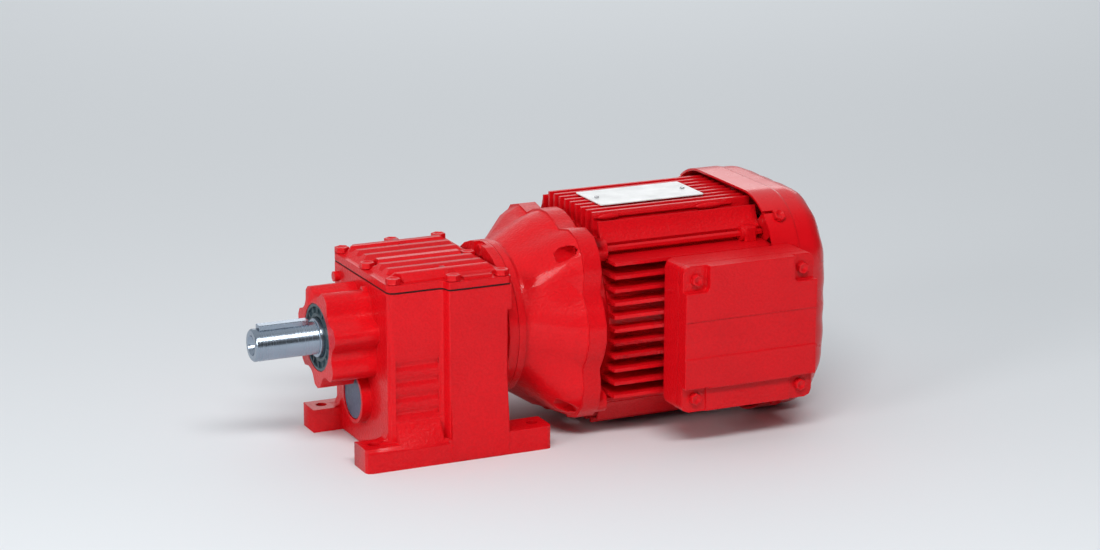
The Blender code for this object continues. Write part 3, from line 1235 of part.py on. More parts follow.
def stator_quadrant():
    """First quadrant of the finned section about the motor axis, from the side up to the top."""
    root_half, tip_half = FIN_ROOT_THICKNESS / 2, FIN_TIP_THICKNESS / 2
    points = []
    side_rows = SIDE_FIN_COUNT // 2
    for row in range(side_rows + 1):
        middle = row * SIDE_FIN_PITCH
        low, high = middle - root_half, middle + root_half
        if row > 0:
            points.append((math.sqrt(TUBE_RADIUS**2 - low**2), low))
            points.append((SIDE_FIN_REACH, middle - tip_half))
        points.append((SIDE_FIN_REACH, middle + tip_half))
        if row < side_rows:
            points.append((math.sqrt(TUBE_RADIUS**2 - high**2), high))
    points.append((CORNER_FLOOR, side_rows * SIDE_FIN_PITCH + root_half))
    points += [(across * TOP_FIN_REACH, up * TOP_FIN_REACH) for across, up in CORNER_CURVE]
    points += [CORNER_TOP, (CORNER_BACK, CORNER_TOP[1]), (CORNER_BACK, CORNER_LEDGE)]
    top_rows = TOP_FIN_COUNT // 2
    for row in range(top_rows, -1, -1):
        middle = row * TOP_FIN_PITCH
        low, high = middle - root_half, middle + root_half
        points.append((high, CORNER_LEDGE if row == top_rows else math.sqrt(TUBE_RADIUS**2 - high**2)))
        points.append((middle + tip_half, TOP_FIN_REACH))
        if row > 0:
            points.append((middle - tip_half, TOP_FIN_REACH))
            points.append((low, math.sqrt(TUBE_RADIUS**2 - low**2)))
    return points


def stator_set():
    housing = prism(four_ways(stator_quadrant()), FINS_FRONT, FINS_REAR, "X", (0, SHAFT_Z))
    spigot_radius = TUBE_RADIUS - 2 * OVERLAP
    join(housing, rod(TUBE_FRONT, FINS_FRONT + OVERLAP, spigot_radius, SHAFT_Z, steps=LARGE_STEPS))
    window, pad = BOX_WINDOW / 2, BOX_PAD / 2
    box_x = BOX_FRONT + BOX_LENGTH / 2
    join(
        housing,
        block(
            (box_x - pad, BOX_BACK + FIT, BOX_Z - pad),
            (box_x + pad, -CORE_RADIUS, BOX_Z + pad),
        ),
    )
    cut(
        housing,
        rod(TUBE_FRONT - OVERLAP, FINS_REAR + OVERLAP, CORE_RADIUS + FIT, SHAFT_Z, steps=LARGE_STEPS),
        block(
            (box_x - window, BOX_BACK - OVERLAP, BOX_Z - window),
            (box_x + window, -CORE_RADIUS * 0.8, BOX_Z + window),
        ),
    )
    finish(housing, "stator_housing", CAST_RED)
    bore = ROTOR_RADIUS + AIR_GAP
    teeth = []
    for i in range(SLOT_COUNT):
        centre = 2 * math.pi * i / SLOT_COUNT
        tooth_half, slot_half = SLOT_ROOT * math.pi / SLOT_COUNT, SLOT_MOUTH * math.pi / SLOT_COUNT
        for radius, angle in (
            (bore + SLOT_DEPTH, centre - tooth_half),
            (bore, centre - slot_half),
            (bore, centre + slot_half),
            (bore + SLOT_DEPTH, centre + tooth_half),
        ):
            teeth.append((radius * math.cos(angle), radius * math.sin(angle)))
    core = flat([circle(CORE_RADIUS, LARGE_STEPS), teeth], CORE_FRONT, CORE_REAR, "X", (0, SHAFT_Z))
    finish(core, "stator_core", CORE_STEEL)
    for name, face, way in (("winding_front", CORE_FRONT, -1), ("winding_rear", CORE_REAR, 1)):
        start, end = face + way * FIT, face + way * (FIT + WINDING_LENGTH)
        crown = (WINDING_OUTER - WINDING_INNER) / 4
        ring = [(start, WINDING_INNER), (end - way * crown, WINDING_INNER), (end, WINDING_INNER + crown)]
        ring += [(end, WINDING_OUTER - crown), (end - way * crown, WINDING_OUTER), (start, WINDING_OUTER)]
        finish(turned(ring, SHAFT_Z, INNER_STEPS), name, COPPER)


def rear_end_shield():
    tie = TIE_PITCH / 2
    pocket = clear_radius(MOTOR_REAR_BEARING[0], LARGE_STEPS)
    hub = pocket + REAR_HUB_WALL
    register = CORE_RADIUS
    profile = [
        (PLATE_FRONT - REAR_REGISTER, register - BELL_WALL / 2),
        (PLATE_FRONT - REAR_REGISTER, register),
        (PLATE_FRONT, register),
        (PLATE_FRONT, REAR_PLATE_HALF - OVERLAP),
        (PLATE_REAR, REAR_PLATE_HALF - OVERLAP),
        (PLATE_REAR, hub),
        (REAR_HUB_END, hub),
        (REAR_HUB_END, MOTOR_REAR_BEARING[0] - BORE_SHOULDER),
        (MOTOR_REAR_BEARING_X + MOTOR_REAR_BEARING[1] + FIT, MOTOR_REAR_BEARING[0] - BORE_SHOULDER),
        (MOTOR_REAR_BEARING_X + MOTOR_REAR_BEARING[1] + FIT, pocket),
        (PLATE_FRONT, pocket),
        (PLATE_FRONT, register - BELL_WALL / 2),
    ]
    shield = turned(profile, SHAFT_Z, LARGE_STEPS)
    lug_top, arm_top = lug_reach(LUG_WIDTH / 2), lug_reach(ARM_WIDTH / 2)
    for quarter, (sy, sz) in enumerate(QUARTERS):
        turn = Matrix.Rotation(math.radians(45 + 90 * quarter), 4, "X")
        arm = block(
            (PLATE_FRONT, REAR_PLATE_HALF - 5 * OVERLAP, -ARM_WIDTH / 2), (PLATE_REAR, arm_top, ARM_WIDTH / 2)
        )
        lug = block(
            (PLATE_REAR - OVERLAP, lug_top - LUG_HEIGHT, -LUG_WIDTH / 2),
            (PLATE_REAR + LUG_LENGTH, lug_top, LUG_WIDTH / 2),
        )
        for piece in (arm, lug):
            piece.matrix_world = at_point(0, 0, SHAFT_Z, turn)
        join(shield, arm, lug)
        spot, screw_radius = (0, lug_top - LUG_HEIGHT / 2, 0), clear_radius(COWL_SCREW[2])
        hole = drum(spot, screw_radius, LUG_HEIGHT * LUG_CUT_PAST, "Y", BOLT_STEPS)
        hole.matrix_world = at_point(cowl_screw_x(), 0, SHAFT_Z, turn) @ hole.matrix_world
        cut(shield, hole)
        front, rear, tie_radius = PLATE_FRONT - OVERLAP, PLATE_REAR + OVERLAP, clear_radius(TIE_BOLT[2])
        cut(shield, rod(front, rear, tie_radius, SHAFT_Z + sz * tie, sy * tie, BOLT_STEPS))
    finish(shield, "rear_end_shield", CAST_RED)


def cowl_inner_diagonal():
    """Distance from the axis to the cowl's inside at a corner."""
    return (COWL_HALF - COWL_CORNER) * math.sqrt(2) + COWL_CORNER - COWL_WALL


def lug_reach(half_width):
    """How far out a flat-topped lug may reach inside the cowl's faceted corner."""
    facet = math.pi / 2 / (COWL_CORNER_POINTS - 1)
    return cowl_inner_diagonal() - half_width * math.tan(facet / 2) - FIT


def cowl_screw_x():
    return COWL_FRONT + (PLATE_REAR + LUG_LENGTH - COWL_FRONT) / 2 + OVERLAP


def fan_cowl():
    """A sheet shell: rounded-square rings from the open front to a domed rear, thickened inwards."""
    rear_half = COWL_HALF - COWL_SHOULDER
    bead = COWL_FRONT + COWL_BEAD_AT
    rings = [
        (COWL_FRONT, COWL_HALF, COWL_CORNER),
        (bead, COWL_HALF, COWL_CORNER),
        (bead + 2 * COWL_BEAD_STEP, COWL_HALF - COWL_BEAD_STEP, COWL_CORNER - COWL_BEAD_STEP),
    ]
    for degrees in (0, 45, 90):
        angle = math.radians(degrees)
        pull = COWL_SHOULDER * (1 - math.cos(angle)) + COWL_BEAD_STEP * math.cos(angle)
        station = COWL_REAR - COWL_SHOULDER * (1 - math.sin(angle))
        rings.append((station, COWL_HALF - pull, COWL_CORNER - pull * 0.5))
    shape = bmesh.new()
    before = None
    for station, half, corner in rings:
        loop = [shape.verts.new((y, z, station)) for y, z in rounded(half, half, corner, COWL_CORNER_POINTS)]
        if before:
            for i in range(len(loop)):
                after = (i + 1) % len(loop)
                shape.faces.new((before[i], before[after], loop[after], loop[i]))
        before = loop
    shape.faces.new(before)
    bmesh.ops.recalc_face_normals(shape, faces=shape.faces)
    mesh = bpy.data.meshes.new("cowl")
    shape.to_mesh(mesh)
    shape.free()
    cowl = place(bpy.data.objects.new("cowl", mesh), PARTS, "X", (0, 0, SHAFT_Z))
    wall = cowl.modifiers.new("wall", "SOLIDIFY")
    wall.thickness = COWL_WALL
    wall.offset = -1
    wall.use_even_offset = True
    for ring in range(GRILLE_RINGS):
        inner = GRILLE_INNER + ring * (GRILLE_SLOT + GRILLE_LAND)
        outer = inner + GRILLE_SLOT
        if outer > rear_half - 2 * COWL_WALL:
            break
        steps = 3 + ring
        for spoke in range(GRILLE_SPOKES):
            span = 360 / GRILLE_SPOKES
            centre = span * (spoke + 0.5)
            gap = math.degrees(GRILLE_SPOKE_WIDTH / (inner + outer))
            first, last = centre - span / 2 + gap, centre + span / 2 - gap
            slot = arc((0, 0), inner, first, last, steps) + arc((0, 0), outer, last, first, steps)
            cut(cowl, prism(slot, COWL_REAR - 3 * COWL_WALL, COWL_REAR + OVERLAP, "X", (0, SHAFT_Z)))
    lug_top = cowl_inner_diagonal()
    screw = hex_bolt_mesh(COWL_SCREW, COWL_SCREW_LENGTH)
    places = []
    for quarter in range(4):
        turn = Matrix.Rotation(math.radians(45 + 90 * quarter), 4, "X")
        spot, screw_radius = (0, lug_top + COWL_WALL / 2, 0), clear_radius(COWL_SCREW[2])
        hole = drum(spot, screw_radius, 4 * COWL_WALL, "Y", BOLT_STEPS)
        hole.matrix_world = at_point(cowl_screw_x(), 0, SHAFT_Z, turn) @ hole.matrix_world
        aside = COWL_SCREW[0] * COWL_NOTCH_ASIDE
        notch = block(
            (COWL_FRONT - OVERLAP, lug_top - 3 * COWL_WALL, aside),
            (COWL_FRONT + COWL_NOTCH_DEPTH, lug_top + 3 * COWL_WALL, aside + COWL_NOTCH_WIDTH),
        )
        notch.matrix_world = at_point(0, 0, SHAFT_Z, turn)
        cut(cowl, hole, notch)
        outward = Matrix.Rotation(-math.pi / 2, 4, "X")
        seat = at_point(0, lug_top + COWL_WALL + FIT, 0)
        places.append(at_point(cowl_screw_x(), 0, SHAFT_Z, turn) @ seat @ outward)
    finish(cowl, "fan_cowl", SHEET_RED)
    bolt_copies("cowl_screw", screw, SHEET_RED, places)


def lid_screw_places():
    """Along and height of the lid's corner screws."""
    middle_x = BOX_FRONT + BOX_LENGTH / 2
    half_x, half_z = BOX_LENGTH / 2 - LID_SCREW_INSET, BOX_HEIGHT / 2 - LID_SCREW_INSET
    return [(middle_x + sx * half_x, BOX_Z + sz * half_z) for sx, sz in QUARTERS]


def terminal_box():
    """The box on the motor's side; its outlines are drawn up and along, the way a Y extrusion takes them."""
    middle = (BOX_Z, BOX_FRONT + BOX_LENGTH / 2)
    outer = rounded(BOX_HEIGHT / 2, BOX_LENGTH / 2, BOX_CORNER, 3, middle)
    inner = rounded(BOX_HEIGHT / 2 - BOX_WALL, BOX_LENGTH / 2 - BOX_WALL, BOX_CORNER / 2, 2, middle)
    body = prism(outer, BOX_JOINT, BOX_BACK, "Y")
    cut(body, prism(inner, BOX_JOINT - OVERLAP, BOX_BACK - BOX_WALL, "Y"))
    post = LID_SCREW_INSET - BOX_WALL / 2
    for x, z in lid_screw_places():
        sx, sz = math.copysign(1, x - middle[1]), math.copysign(1, z - middle[0])
        corner = block(
            (min(x - post, x + sx * post), BOX_JOINT, min(z - post, z + sz * post)),
            (max(x + post, x + sx * post), BOX_BACK - BOX_WALL / 2, max(z + post, z + sz * post)),
        )
        join(body, corner)
    for x, z in lid_screw_places():
        depth = LID_SCREW_LENGTH
        spot = (x, BOX_JOINT + depth / 2 - OVERLAP, z)
        cut(body, drum(spot, clear_radius(LID_SCREW[2]), depth, "Y", BOLT_STEPS))
    half = BOX_WINDOW / 2
    window = block(
        (middle[1] - half, BOX_BACK - BOX_WALL - OVERLAP, BOX_Z - half),
        (middle[1] + half, BOX_BACK + OVERLAP, BOX_Z - half / 3),
    )
    cut(body, window)
    entry_y = (BOX_JOINT + BOX_BACK) / 2
    bottom = BOX_Z - BOX_HEIGHT / 2
    head_mesh = entry_plug_mesh()
    places = []
    for way in (-1, 1):
        x = middle[1] + way * ENTRY_PITCH / 2
        spot, hole_radius = (x, entry_y, bottom + BOX_WALL / 2), clear_radius(ENTRY_RADIUS, ENTRY_STEPS)
        cut(body, drum(spot, hole_radius, 2 * BOX_WALL, "Z", ENTRY_STEPS))
        places.append(at_point(x, entry_y, bottom - FIT, Matrix.Rotation(math.pi, 4, "X")))
    finish(body, "terminal_box", CAST_RED)
    bolt_copies("cable_entry_plug", head_mesh, BLACK_PLASTIC, places)
    terminal_board(middle)
    terminal_lid(middle, outer)


def entry_plug_mesh():
    """A blanking plug: a round head above the origin and its body below."""
    head = drum((0, 0, ENTRY_HEAD_LENGTH / 2), ENTRY_HEAD_RADIUS, ENTRY_HEAD_LENGTH, "Z", 12)
    length = BOX_WALL + OVERLAP
    join(head, drum((0, 0, -length / 2 + OVERLAP / 2), ENTRY_RADIUS, length + OVERLAP, "Z", 12))
    return baked(head, in_place=True)


def terminal_board(middle):
    floor = BOX_BACK - BOX_WALL - FIT
    half = BOARD_SIZE / 2
    lift = BOX_WINDOW / 4
    board = block(
        (middle[1] - half, floor - BOARD_THICKNESS, BOX_Z + lift - half * 0.7),
        (middle[1] + half, floor, BOX_Z + lift + half * 0.7),
    )
    for column in (-1, 0, 1):
        for row in (-1, 1):
            stud = drum(
                (
                    middle[1] + column * half * 0.6,
                    floor - BOARD_THICKNESS - BOARD_STUD_LENGTH / 2 + OVERLAP,
                    BOX_Z + lift + row * half * 0.35,
                ),
                BOARD_STUD_RADIUS,
                BOARD_STUD_LENGTH + OVERLAP,
                "Y",
                6,
            )
            join(board, stud)
    finish(board, "terminal_board", BLACK_PLASTIC)


def terminal_lid(middle, outer):
    """Hollow lid: corner pockets for the screws, a set-back lower strip and two shallow steps."""
    back = BOX_JOINT - FIT
    lid = prism(outer, LID_FACE, back, "Y")
    inset = LID_POCKET + LID_WALL / 2
    half_z, half_x = BOX_HEIGHT / 2, BOX_LENGTH / 2
    cross = [
        (half_z - LID_WALL, half_x - inset),
        (half_z - inset, half_x - inset),
        (half_z - inset, half_x - LID_WALL),
    ]
    hollow = [(middle[0] + z, middle[1] + x) for z, x in four_ways(cross)]
    cut(lid, prism(hollow, LID_FACE + LID_STRIP_SETBACK + LID_WALL, back + OVERLAP, "Y"))
    strip_top = middle[0] - half_z + LID_STRIP_HEIGHT
    face, front = LID_FACE - OVERLAP, middle[1] - half_x - OVERLAP
    rear = middle[1] + half_x + OVERLAP
    bottom = middle[0] - half_z - OVERLAP
    cut(lid, block((front, face, bottom), (rear, LID_FACE + LID_STRIP_SETBACK, strip_top)))
    band_top, band_low = BOX_Z + BOX_HEIGHT * 0.13, BOX_Z - BOX_HEIGHT * 0.12
    cut(lid, block((front, face, band_low), (rear, LID_FACE + LID_STEP_DEPTH, band_top)))
    for x, z in lid_screw_places():
        sx, sz = math.copysign(1, x - middle[1]), math.copysign(1, z - middle[0])
        edge_x, edge_z = middle[1] + sx * (half_x - LID_POCKET), middle[0] + sz * (half_z - LID_POCKET)
        far_x, far_z = middle[1] + sx * (half_x + OVERLAP), middle[0] + sz * (half_z + OVERLAP)
        screw_radius = clear_radius(LID_SCREW[2])
        cut(
            lid,
            block(
                (min(edge_x, far_x), face, min(edge_z, far_z)),
                (max(edge_x, far_x), LID_FACE + LID_POCKET_DEPTH, max(edge_z, far_z)),
            ),
            drum((x, back - BOX_LID_DEPTH / 2, z), screw_radius, 2 * BOX_LID_DEPTH, "Y", BOLT_STEPS),
        )
    finish(lid, "terminal_lid", SHEET_RED)
    outward = Matrix.Rotation(math.pi / 2, 4, "X")
    seat = LID_FACE + LID_POCKET_DEPTH - FIT
    bolt_copies(
        "terminal_lid_screw",
        hex_bolt_mesh(LID_SCREW, LID_SCREW_LENGTH),
        CAST_RED,
        [at_point(x, seat, z, outward) for x, z in lid_screw_places()],
    )


def nameplate():
    low = SHAFT_Z + TOP_FIN_REACH + FIT
    middle = FINS_FRONT + PLATE_FROM_FINS + PLATE_LENGTH / 2
    rivets = [middle + way * (PLATE_LENGTH / 2 - RIVET_INSET) for way in (-1, 1)]
    outline = rounded(PLATE_LENGTH / 2, PLATE_WIDTH / 2, 0.001, 2, (middle, 0))
    shank = RIVET_RADIUS / 2
    holes = [circle(clear_radius(shank), BOLT_STEPS, (x, 0)) for x in rivets]
    finish(flat([outline, *holes], low, low + PLATE_THICKNESS, "Z"), "nameplate", PLATE_WHITE)
    head = drum((0, 0, RIVET_HEAD / 2), RIVET_RADIUS, RIVET_HEAD, "Z", 8)
    spot, length = (0, 0, -PLATE_THICKNESS / 2 + OVERLAP / 4), PLATE_THICKNESS + OVERLAP / 2
    join(head, drum(spot, shank, length, "Z", BOLT_STEPS))
    mesh = baked(head, in_place=True)
    top = low + PLATE_THICKNESS + FIT
    bolt_copies("nameplate_rivet", mesh, ALUMINIUM, [at_point(x, 0, top) for x in rivets])


def turning_axis(name, height, pieces):
    """An empty on a shaft's axis that carries the pieces turning about it."""
    axis = bpy.data.objects.new(name, None)
    PARTS.objects.link(axis)
    axis.location = (0, 0, height)
    bpy.context.view_layer.update()
    for piece in pieces:
        matrix = piece.matrix_world.copy()
        piece.parent = axis
        piece.matrix_world = matrix


gear_housing()
cover_and_gasket()
seal_cap_and_bearings()
turning_axis("output_axis", SHAFT_Z, output_set())
turning_axis("countershaft_axis", COUNTER_Z, countershaft_set())
motor_end_shield()
turning_axis("rotor_axis", SHAFT_Z, rotor_set())
stator_set()
rear_end_shield()
fan_cowl()
terminal_box()
nameplate()
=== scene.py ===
"""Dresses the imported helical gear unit: cast and sheet paint, turned steel, rubber, bolts and the studio."""

import math

import bmesh
import bpy
from bpy.props import FloatProperty, FloatVectorProperty, IntProperty, PointerProperty
from bpy.types import Operator, Panel, PropertyGroup
from mathutils import Matrix, Vector


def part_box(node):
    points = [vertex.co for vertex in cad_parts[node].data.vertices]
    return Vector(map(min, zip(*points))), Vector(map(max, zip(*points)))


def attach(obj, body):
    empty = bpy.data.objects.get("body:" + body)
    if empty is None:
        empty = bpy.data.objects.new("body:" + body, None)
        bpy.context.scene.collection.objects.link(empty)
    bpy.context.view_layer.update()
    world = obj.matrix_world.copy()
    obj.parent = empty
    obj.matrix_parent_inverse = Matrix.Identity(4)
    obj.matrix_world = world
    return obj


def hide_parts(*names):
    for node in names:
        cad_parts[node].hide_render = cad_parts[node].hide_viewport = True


bl_info = {
    "name": "Helical Gear Unit Dressing",
    "version": (1, 0, 0),
    "blender": (4, 5, 0),
    "location": "View3D > Sidebar > Gear Unit",
    "description": "Paints, finishes and lights the foot-mounted helical gear unit",
    "category": "Object",
}

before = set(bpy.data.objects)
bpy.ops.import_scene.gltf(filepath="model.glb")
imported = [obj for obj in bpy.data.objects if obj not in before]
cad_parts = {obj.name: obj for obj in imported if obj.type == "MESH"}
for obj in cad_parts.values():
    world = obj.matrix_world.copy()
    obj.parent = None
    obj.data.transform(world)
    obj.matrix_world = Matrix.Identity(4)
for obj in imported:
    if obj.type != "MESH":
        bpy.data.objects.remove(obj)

MM = 0.001
MERGE = 0.01 * MM
HOUSING, OUTPUT = "housing", "output"
SHAFT_Z = 90.0 * MM
COUNTER_Z = 40.0 * MM

# Corners of the motor seen along the shaft: side along Y and level along Z.
CORNERS = ((-1, -1), (-1, 1), (1, -1), (1, 1))

# Angles in degrees: a node's faces that turn less are one face, and edges that turn more are rounded.
FLAT_TURN, EDGE_TURN = 0.5, 30.0

# Angles in degrees at which an edge turns sharp, on turned, rounded, pressed and forged pieces.
TURNED_SHARP, ROUNDED_SHARP, PRESSED_SHARP, FORGED_SHARP = 30.0, 60.0, 40.0, 24.0

# How much the sides of a bolt's hexagon may differ, as a share of the longest, and the share of the head's
# radius outside which its corners lie.
UNEVEN_SIDES, HEAD_EDGE = 0.05, 0.9

# How far a cutter stands past the sheet it cuts.
CUT_PAST = 2.0 * MM

# Scale of a pattern that runs round X.
ROUND_X = (1, 0.01, 0.01)

# Castings that keep their solid's form and get cast paint: node, sharp edge angle in degrees.
CASTINGS = {
    "gear_housing": 32,
    "housing_cover": 24,
    "motor_end_shield": 32,
    "stator_housing": 24,
    "rear_end_shield": 32,
}

# Bolts with painted heads, by the start of their nodes' names.
PAINTED_BOLTS = ("cover_bolt_", "terminal_lid_screw_", "cowl_screw_", "flange_bolt_outer_", "tie_bolt_")

# Output shaft: distance from its end and radius in mm, from the centre hole's bottom to the rear end.
SHAFT_PROFILE = (
    (22.0, 0.0), (20.5, 4.2), (5.2, 4.2), (4.6, 5.0), (1.0, 7.2), (0.0, 7.9),
    (0.0, 11.3), (0.2, 11.6), (1.0, 12.4), (1.3, 12.5),
    (49.6, 12.5), (50.0, 12.7), (50.0, 14.2), (50.6, 14.9), (51.0, 15.0),
    (76.3, 15.0), (76.3, 17.5), (98.1, 17.5), (98.1, 16.0), (122.4, 16.0),
    (122.4, 12.5), (140.2, 12.5), (140.7, 12.0), (140.7, 0.0),
)

# Shaft seal: distance from its front and radius in mm, once round its section.
SEAL_PROFILE = (
    (8.0, 26.0), (0.4, 26.0), (0.0, 25.7), (0.0, 24.0), (0.3, 23.6), (1.8, 23.2),
    (2.0, 22.8), (2.0, 19.4), (1.6, 18.9), (0.9, 18.6), (0.7, 18.2), (0.8, 16.4),
    (1.6, 15.35), (8.0, 15.35),
)

# Cap on the countershaft bore: distance from its front and radius in mm.
CAP_PROFILE = (
    (3.2, 0.0), (3.2, 17.5), (0.6, 17.5), (0.15, 17.2), (0.0, 16.8), (0.0, 16.3), (0.4, 15.9), (0.4, 0.0),
)

# Pads on the ledges beside the outer fins: start and end along X in mm.
PADS = ((127.0, 146.0), (211.0, 235.0))

# Bead of the cowl: how far the sheet has stepped in, as shares of the whole step.
BEAD_SHARES = (0.3, 0.7, 1.0)

# World: the direction it grows pale in, and the places and tones of its ramp.
PALE_TOWARDS = (-0.1, 0.6, 0.65)
AIR_TONES = ((0.0, 0.14), (0.3, 0.45), (0.62, 1.6))
AIR_COLOUR = (0.93, 0.97, 1.0)

# Lamps: name, place, width and height in metres, and the setting that holds the power.
LAMPS = (
    ("key_front", (-0.45, -1.6, 1.9), (1.8, 0.4), "key_power"),
    ("fill_left", (-1.8, -0.9, 0.8), (0.6, 0.6), "fill_power"),
    ("sheen_behind", (1.25, 2.1, 0.9), (1.8, 0.5), "sheen_power"),
)
LAMP_TARGET = (0.085, 0.0, 0.09)

# Camera of the photograph's view: place in metres and turn in degrees.
CAMERA_PLACE = (-0.85978, -2.06073, 0.72510)
CAMERA_TURN = (75.0424, -0.0888, -25.0913)


# Settings

def length(name, description, default, least=0.0):
    """Property that holds a length, with its default and least value in mm."""
    return FloatProperty(name=name, description=description, min=least * MM, default=default * MM,
                         unit="LENGTH")


def place(name, description, *default):
    """Property that holds a place or a size along X, Y and Z, with its default in mm."""
    return FloatVectorProperty(name=name, description=description, subtype="TRANSLATION", unit="LENGTH",
                               size=3, default=[part * MM for part in default])


def colour_of(name, description, *default):
    """Property that holds a colour."""
    return FloatVectorProperty(name=name, description=description, subtype="COLOR", size=3, min=0, max=1,
                               default=default)


def count(name, description, default, least=1):
    """Property that holds a whole number."""
    return IntProperty(name=name, description=description, min=least, default=default)


def plain_number(name, description, default, least=0.0):
    """Property that holds a share, a power or a level."""
    return FloatProperty(name=name, description=description, min=least, default=default)


class PaintSettings(PropertyGroup):
    """Colours and grain of the red paint."""

    cast_colour: colour_of("Cast paint", "Colour of the paint on the castings", 0.69, 0.004, 0.009)
    sheet_colour: colour_of("Sheet paint", "Colour of the paint on the fan cowl", 0.69, 0.003, 0.008)
    gloss_roughness: FloatProperty(
        name="Paint roughness", description="Middle roughness of the cast paint",
        min=0, max=1, default=0.34, subtype="FACTOR")
    grain_size: length("Grain size", "Width of one grain of the cast skin", 2.0, 0.2)
    grain_depth: length("Grain depth", "Depth of the cast skin's grain", 0.5)
    edge_round: length("Edge rounding", "Radius of the paint over a cast edge", 1.0)


class SteelSettings(PropertyGroup):
    """Colour and turning marks of the bare steel."""

    steel_colour: colour_of("Steel", "Colour of the turned steel", 0.33, 0.39, 0.47)
    gear_colour: colour_of("Gear steel", "Colour of the ground gears", 0.42, 0.42, 0.44)
    shaft_sides: count("Shaft sides", "Points round the shaft", 96, 24)
    turning_pitch: length("Turning pitch", "Distance between two turning marks", 0.6, 0.05)


class BoltSettings(PropertyGroup):
    """Form of the hexagon heads."""

    chamfer: length("Head chamfer", "Height of the chamfer on a hexagon head", 0.5)
    washer: length("Washer height", "Height of the collar under a head", 0.7)
    washer_steps: count("Washer steps", "Sides of the round collar", 32, 8)
    washer_foot: plain_number("Washer foot", "Radius of the collar's foot, in head radii", 0.99)
    washer_top: plain_number("Washer top", "Radius of the collar's top, in head radii", 0.93)
    rim: plain_number("Rim", "Width of the flat rim round the dish, in head radii", 0.24)
    dish: length("Dish depth", "Depth of the dish forged into a head", 0.5)


class EdgeSettings(PropertyGroup):
    """Radii of the rounded edges and corners."""

    box_edge: length("Terminal box edge", "Radius of the edges of the terminal box and its lid", 0.6)
    pocket_corner: length("Pocket corner", "Radius of the corners of the lid's upper screw pockets", 3.5)
    keyway_corner: length("Keyway corner", "Radius of the keyway's corners", 0.8)
    key_play: length("Key play", "Gap between the key and its keyway", 0.2)
    key_edge: length("Key edge", "Radius of the key's edges", 0.35)
    lug_edge: length("Lug edge", "Radius of the edges of the tie bolt lugs", 1.6)
    plate_corner: length("Plate corner", "Radius of the nameplate's corners", 1.6)
    rivet_edge: length("Rivet edge", "Radius of the edge of a rivet's dome", 0.5)


class CornerSettings(PropertyGroup):
    """Lugs, ledges and pads at the motor's corners, with places along X and from the shaft's axis."""

    lug_place: place("Lug place", "Middle of a tie bolt lug", 248.0, 60.6, 59.8)
    lug_size: place("Lug size", "Size of a tie bolt lug", 10.0, 10.8, 12.8)
    collar_place: place("Collar place", "Middle of the collar in front of a lug", 242.6, 59.8, 59.8)
    collar_radius: length("Collar radius", "Radius of the round collar", 5.7)
    collar_depth: length("Collar depth", "Length of the round collar", 4.0)
    ledge_place: place("Ledge place", "Middle of a ledge beside the outer fins", 183.5, 40.9, 80.2)
    ledge_size: place("Ledge size", "Size of a ledge beside the outer fins", 119.0, 1.8, 1.2)
    pad_aside: length("Pad place", "Distance of a pad's middle from the shaft's plane", 41.2)
    pad_half_width: length("Pad half width", "Half width of a pad", 2.0)
    pad_height: length("Pad height", "Height of a pad over its ledge's middle", 2.4)


class CowlSettings(PropertyGroup):
    """Form of the pressed fan cowl."""

    sides: count("Sides", "Points round the cowl", 144, 24)
    shoulder: length("Shoulder", "Radius of the rolled rear edge", 20.0, 1.0)
    shoulder_steps: count("Shoulder steps", "Faces over the rolled rear edge", 8, 2)
    corner: length("Corner", "Radius of the four long corners", 52.0, 1.0)
    bead_at: length("Bead place", "Distance of the step from the open front", 22.5, 1.0)
    bead_lead: length("Bead lead", "Length of the sheet's bend before the step", 1.2)
    bead_width: length("Bead width", "Length of the step along the cowl", 2.0)
    bead_step: length("Bead step", "How far the sheet steps in behind the bead", 1.0)
    flutes: count("Flutes", "Waves pressed round the shoulder", 24, 0)
    flute_depth: length("Flute depth", "Depth of the waves at the rear edge", 1.4)
    sheet: length("Sheet", "Thickness of the steel sheet", 1.8, 0.5)
    grille_inner: length("Grille middle", "Inner radius of the grille's first ring of slots", 17.0, 1.0)
    grille_rings: count("Grille rings", "Rings of slots", 3)
    grille_spokes: count("Grille spokes", "Spokes of the grille", 4, 2)
    grille_steps: count("Slot steps", "Faces along one slot", 14, 4)
    slot_width: length("Slot width", "Width of an arched slot", 8.5, 1.0)
    slot_pitch: length("Slot pitch", "Distance from one ring of slots to the next", 15.0, 1.0)
    spoke_width: length("Spoke width", "Width of a spoke between two slots", 8.0)
    notch_width: length("Notch width", "Width of the notch beside a cowl screw", 2.8)
    notch_depth: length("Notch depth", "How far a notch goes in from the open front", 9.0)
    notch_aside: length("Notch place", "Distance of a notch's middle from its screw's", 5.0)
    notch_reach: length("Notch reach", "Distance from the axis at which a notch's cutter ends", 115.0)


class SealSettings(PropertyGroup):
    """Ribs and steps of the seal and the cap."""

    seal_steps: count("Seal steps", "Faces round the shaft seal", 72, 24)
    cap_steps: count("Cap steps", "Faces round the bore's cap", 64, 24)
    ribs: count("Ribs", "Ribs round the shaft seal", 14)
    rib_width: length("Rib width", "Width of a rib", 1.4)
    rib_inner: length("Rib inner end", "Radius at which a rib starts", 19.0)
    rib_outer: length("Rib outer end", "Radius at which a rib ends", 23.5)
    rib_front: length("Rib front", "Distance of a rib's face behind the seal's front", 0.5)
    rib_rear: length("Rib rear", "Distance of a rib's rear behind the seal's front", 2.4)


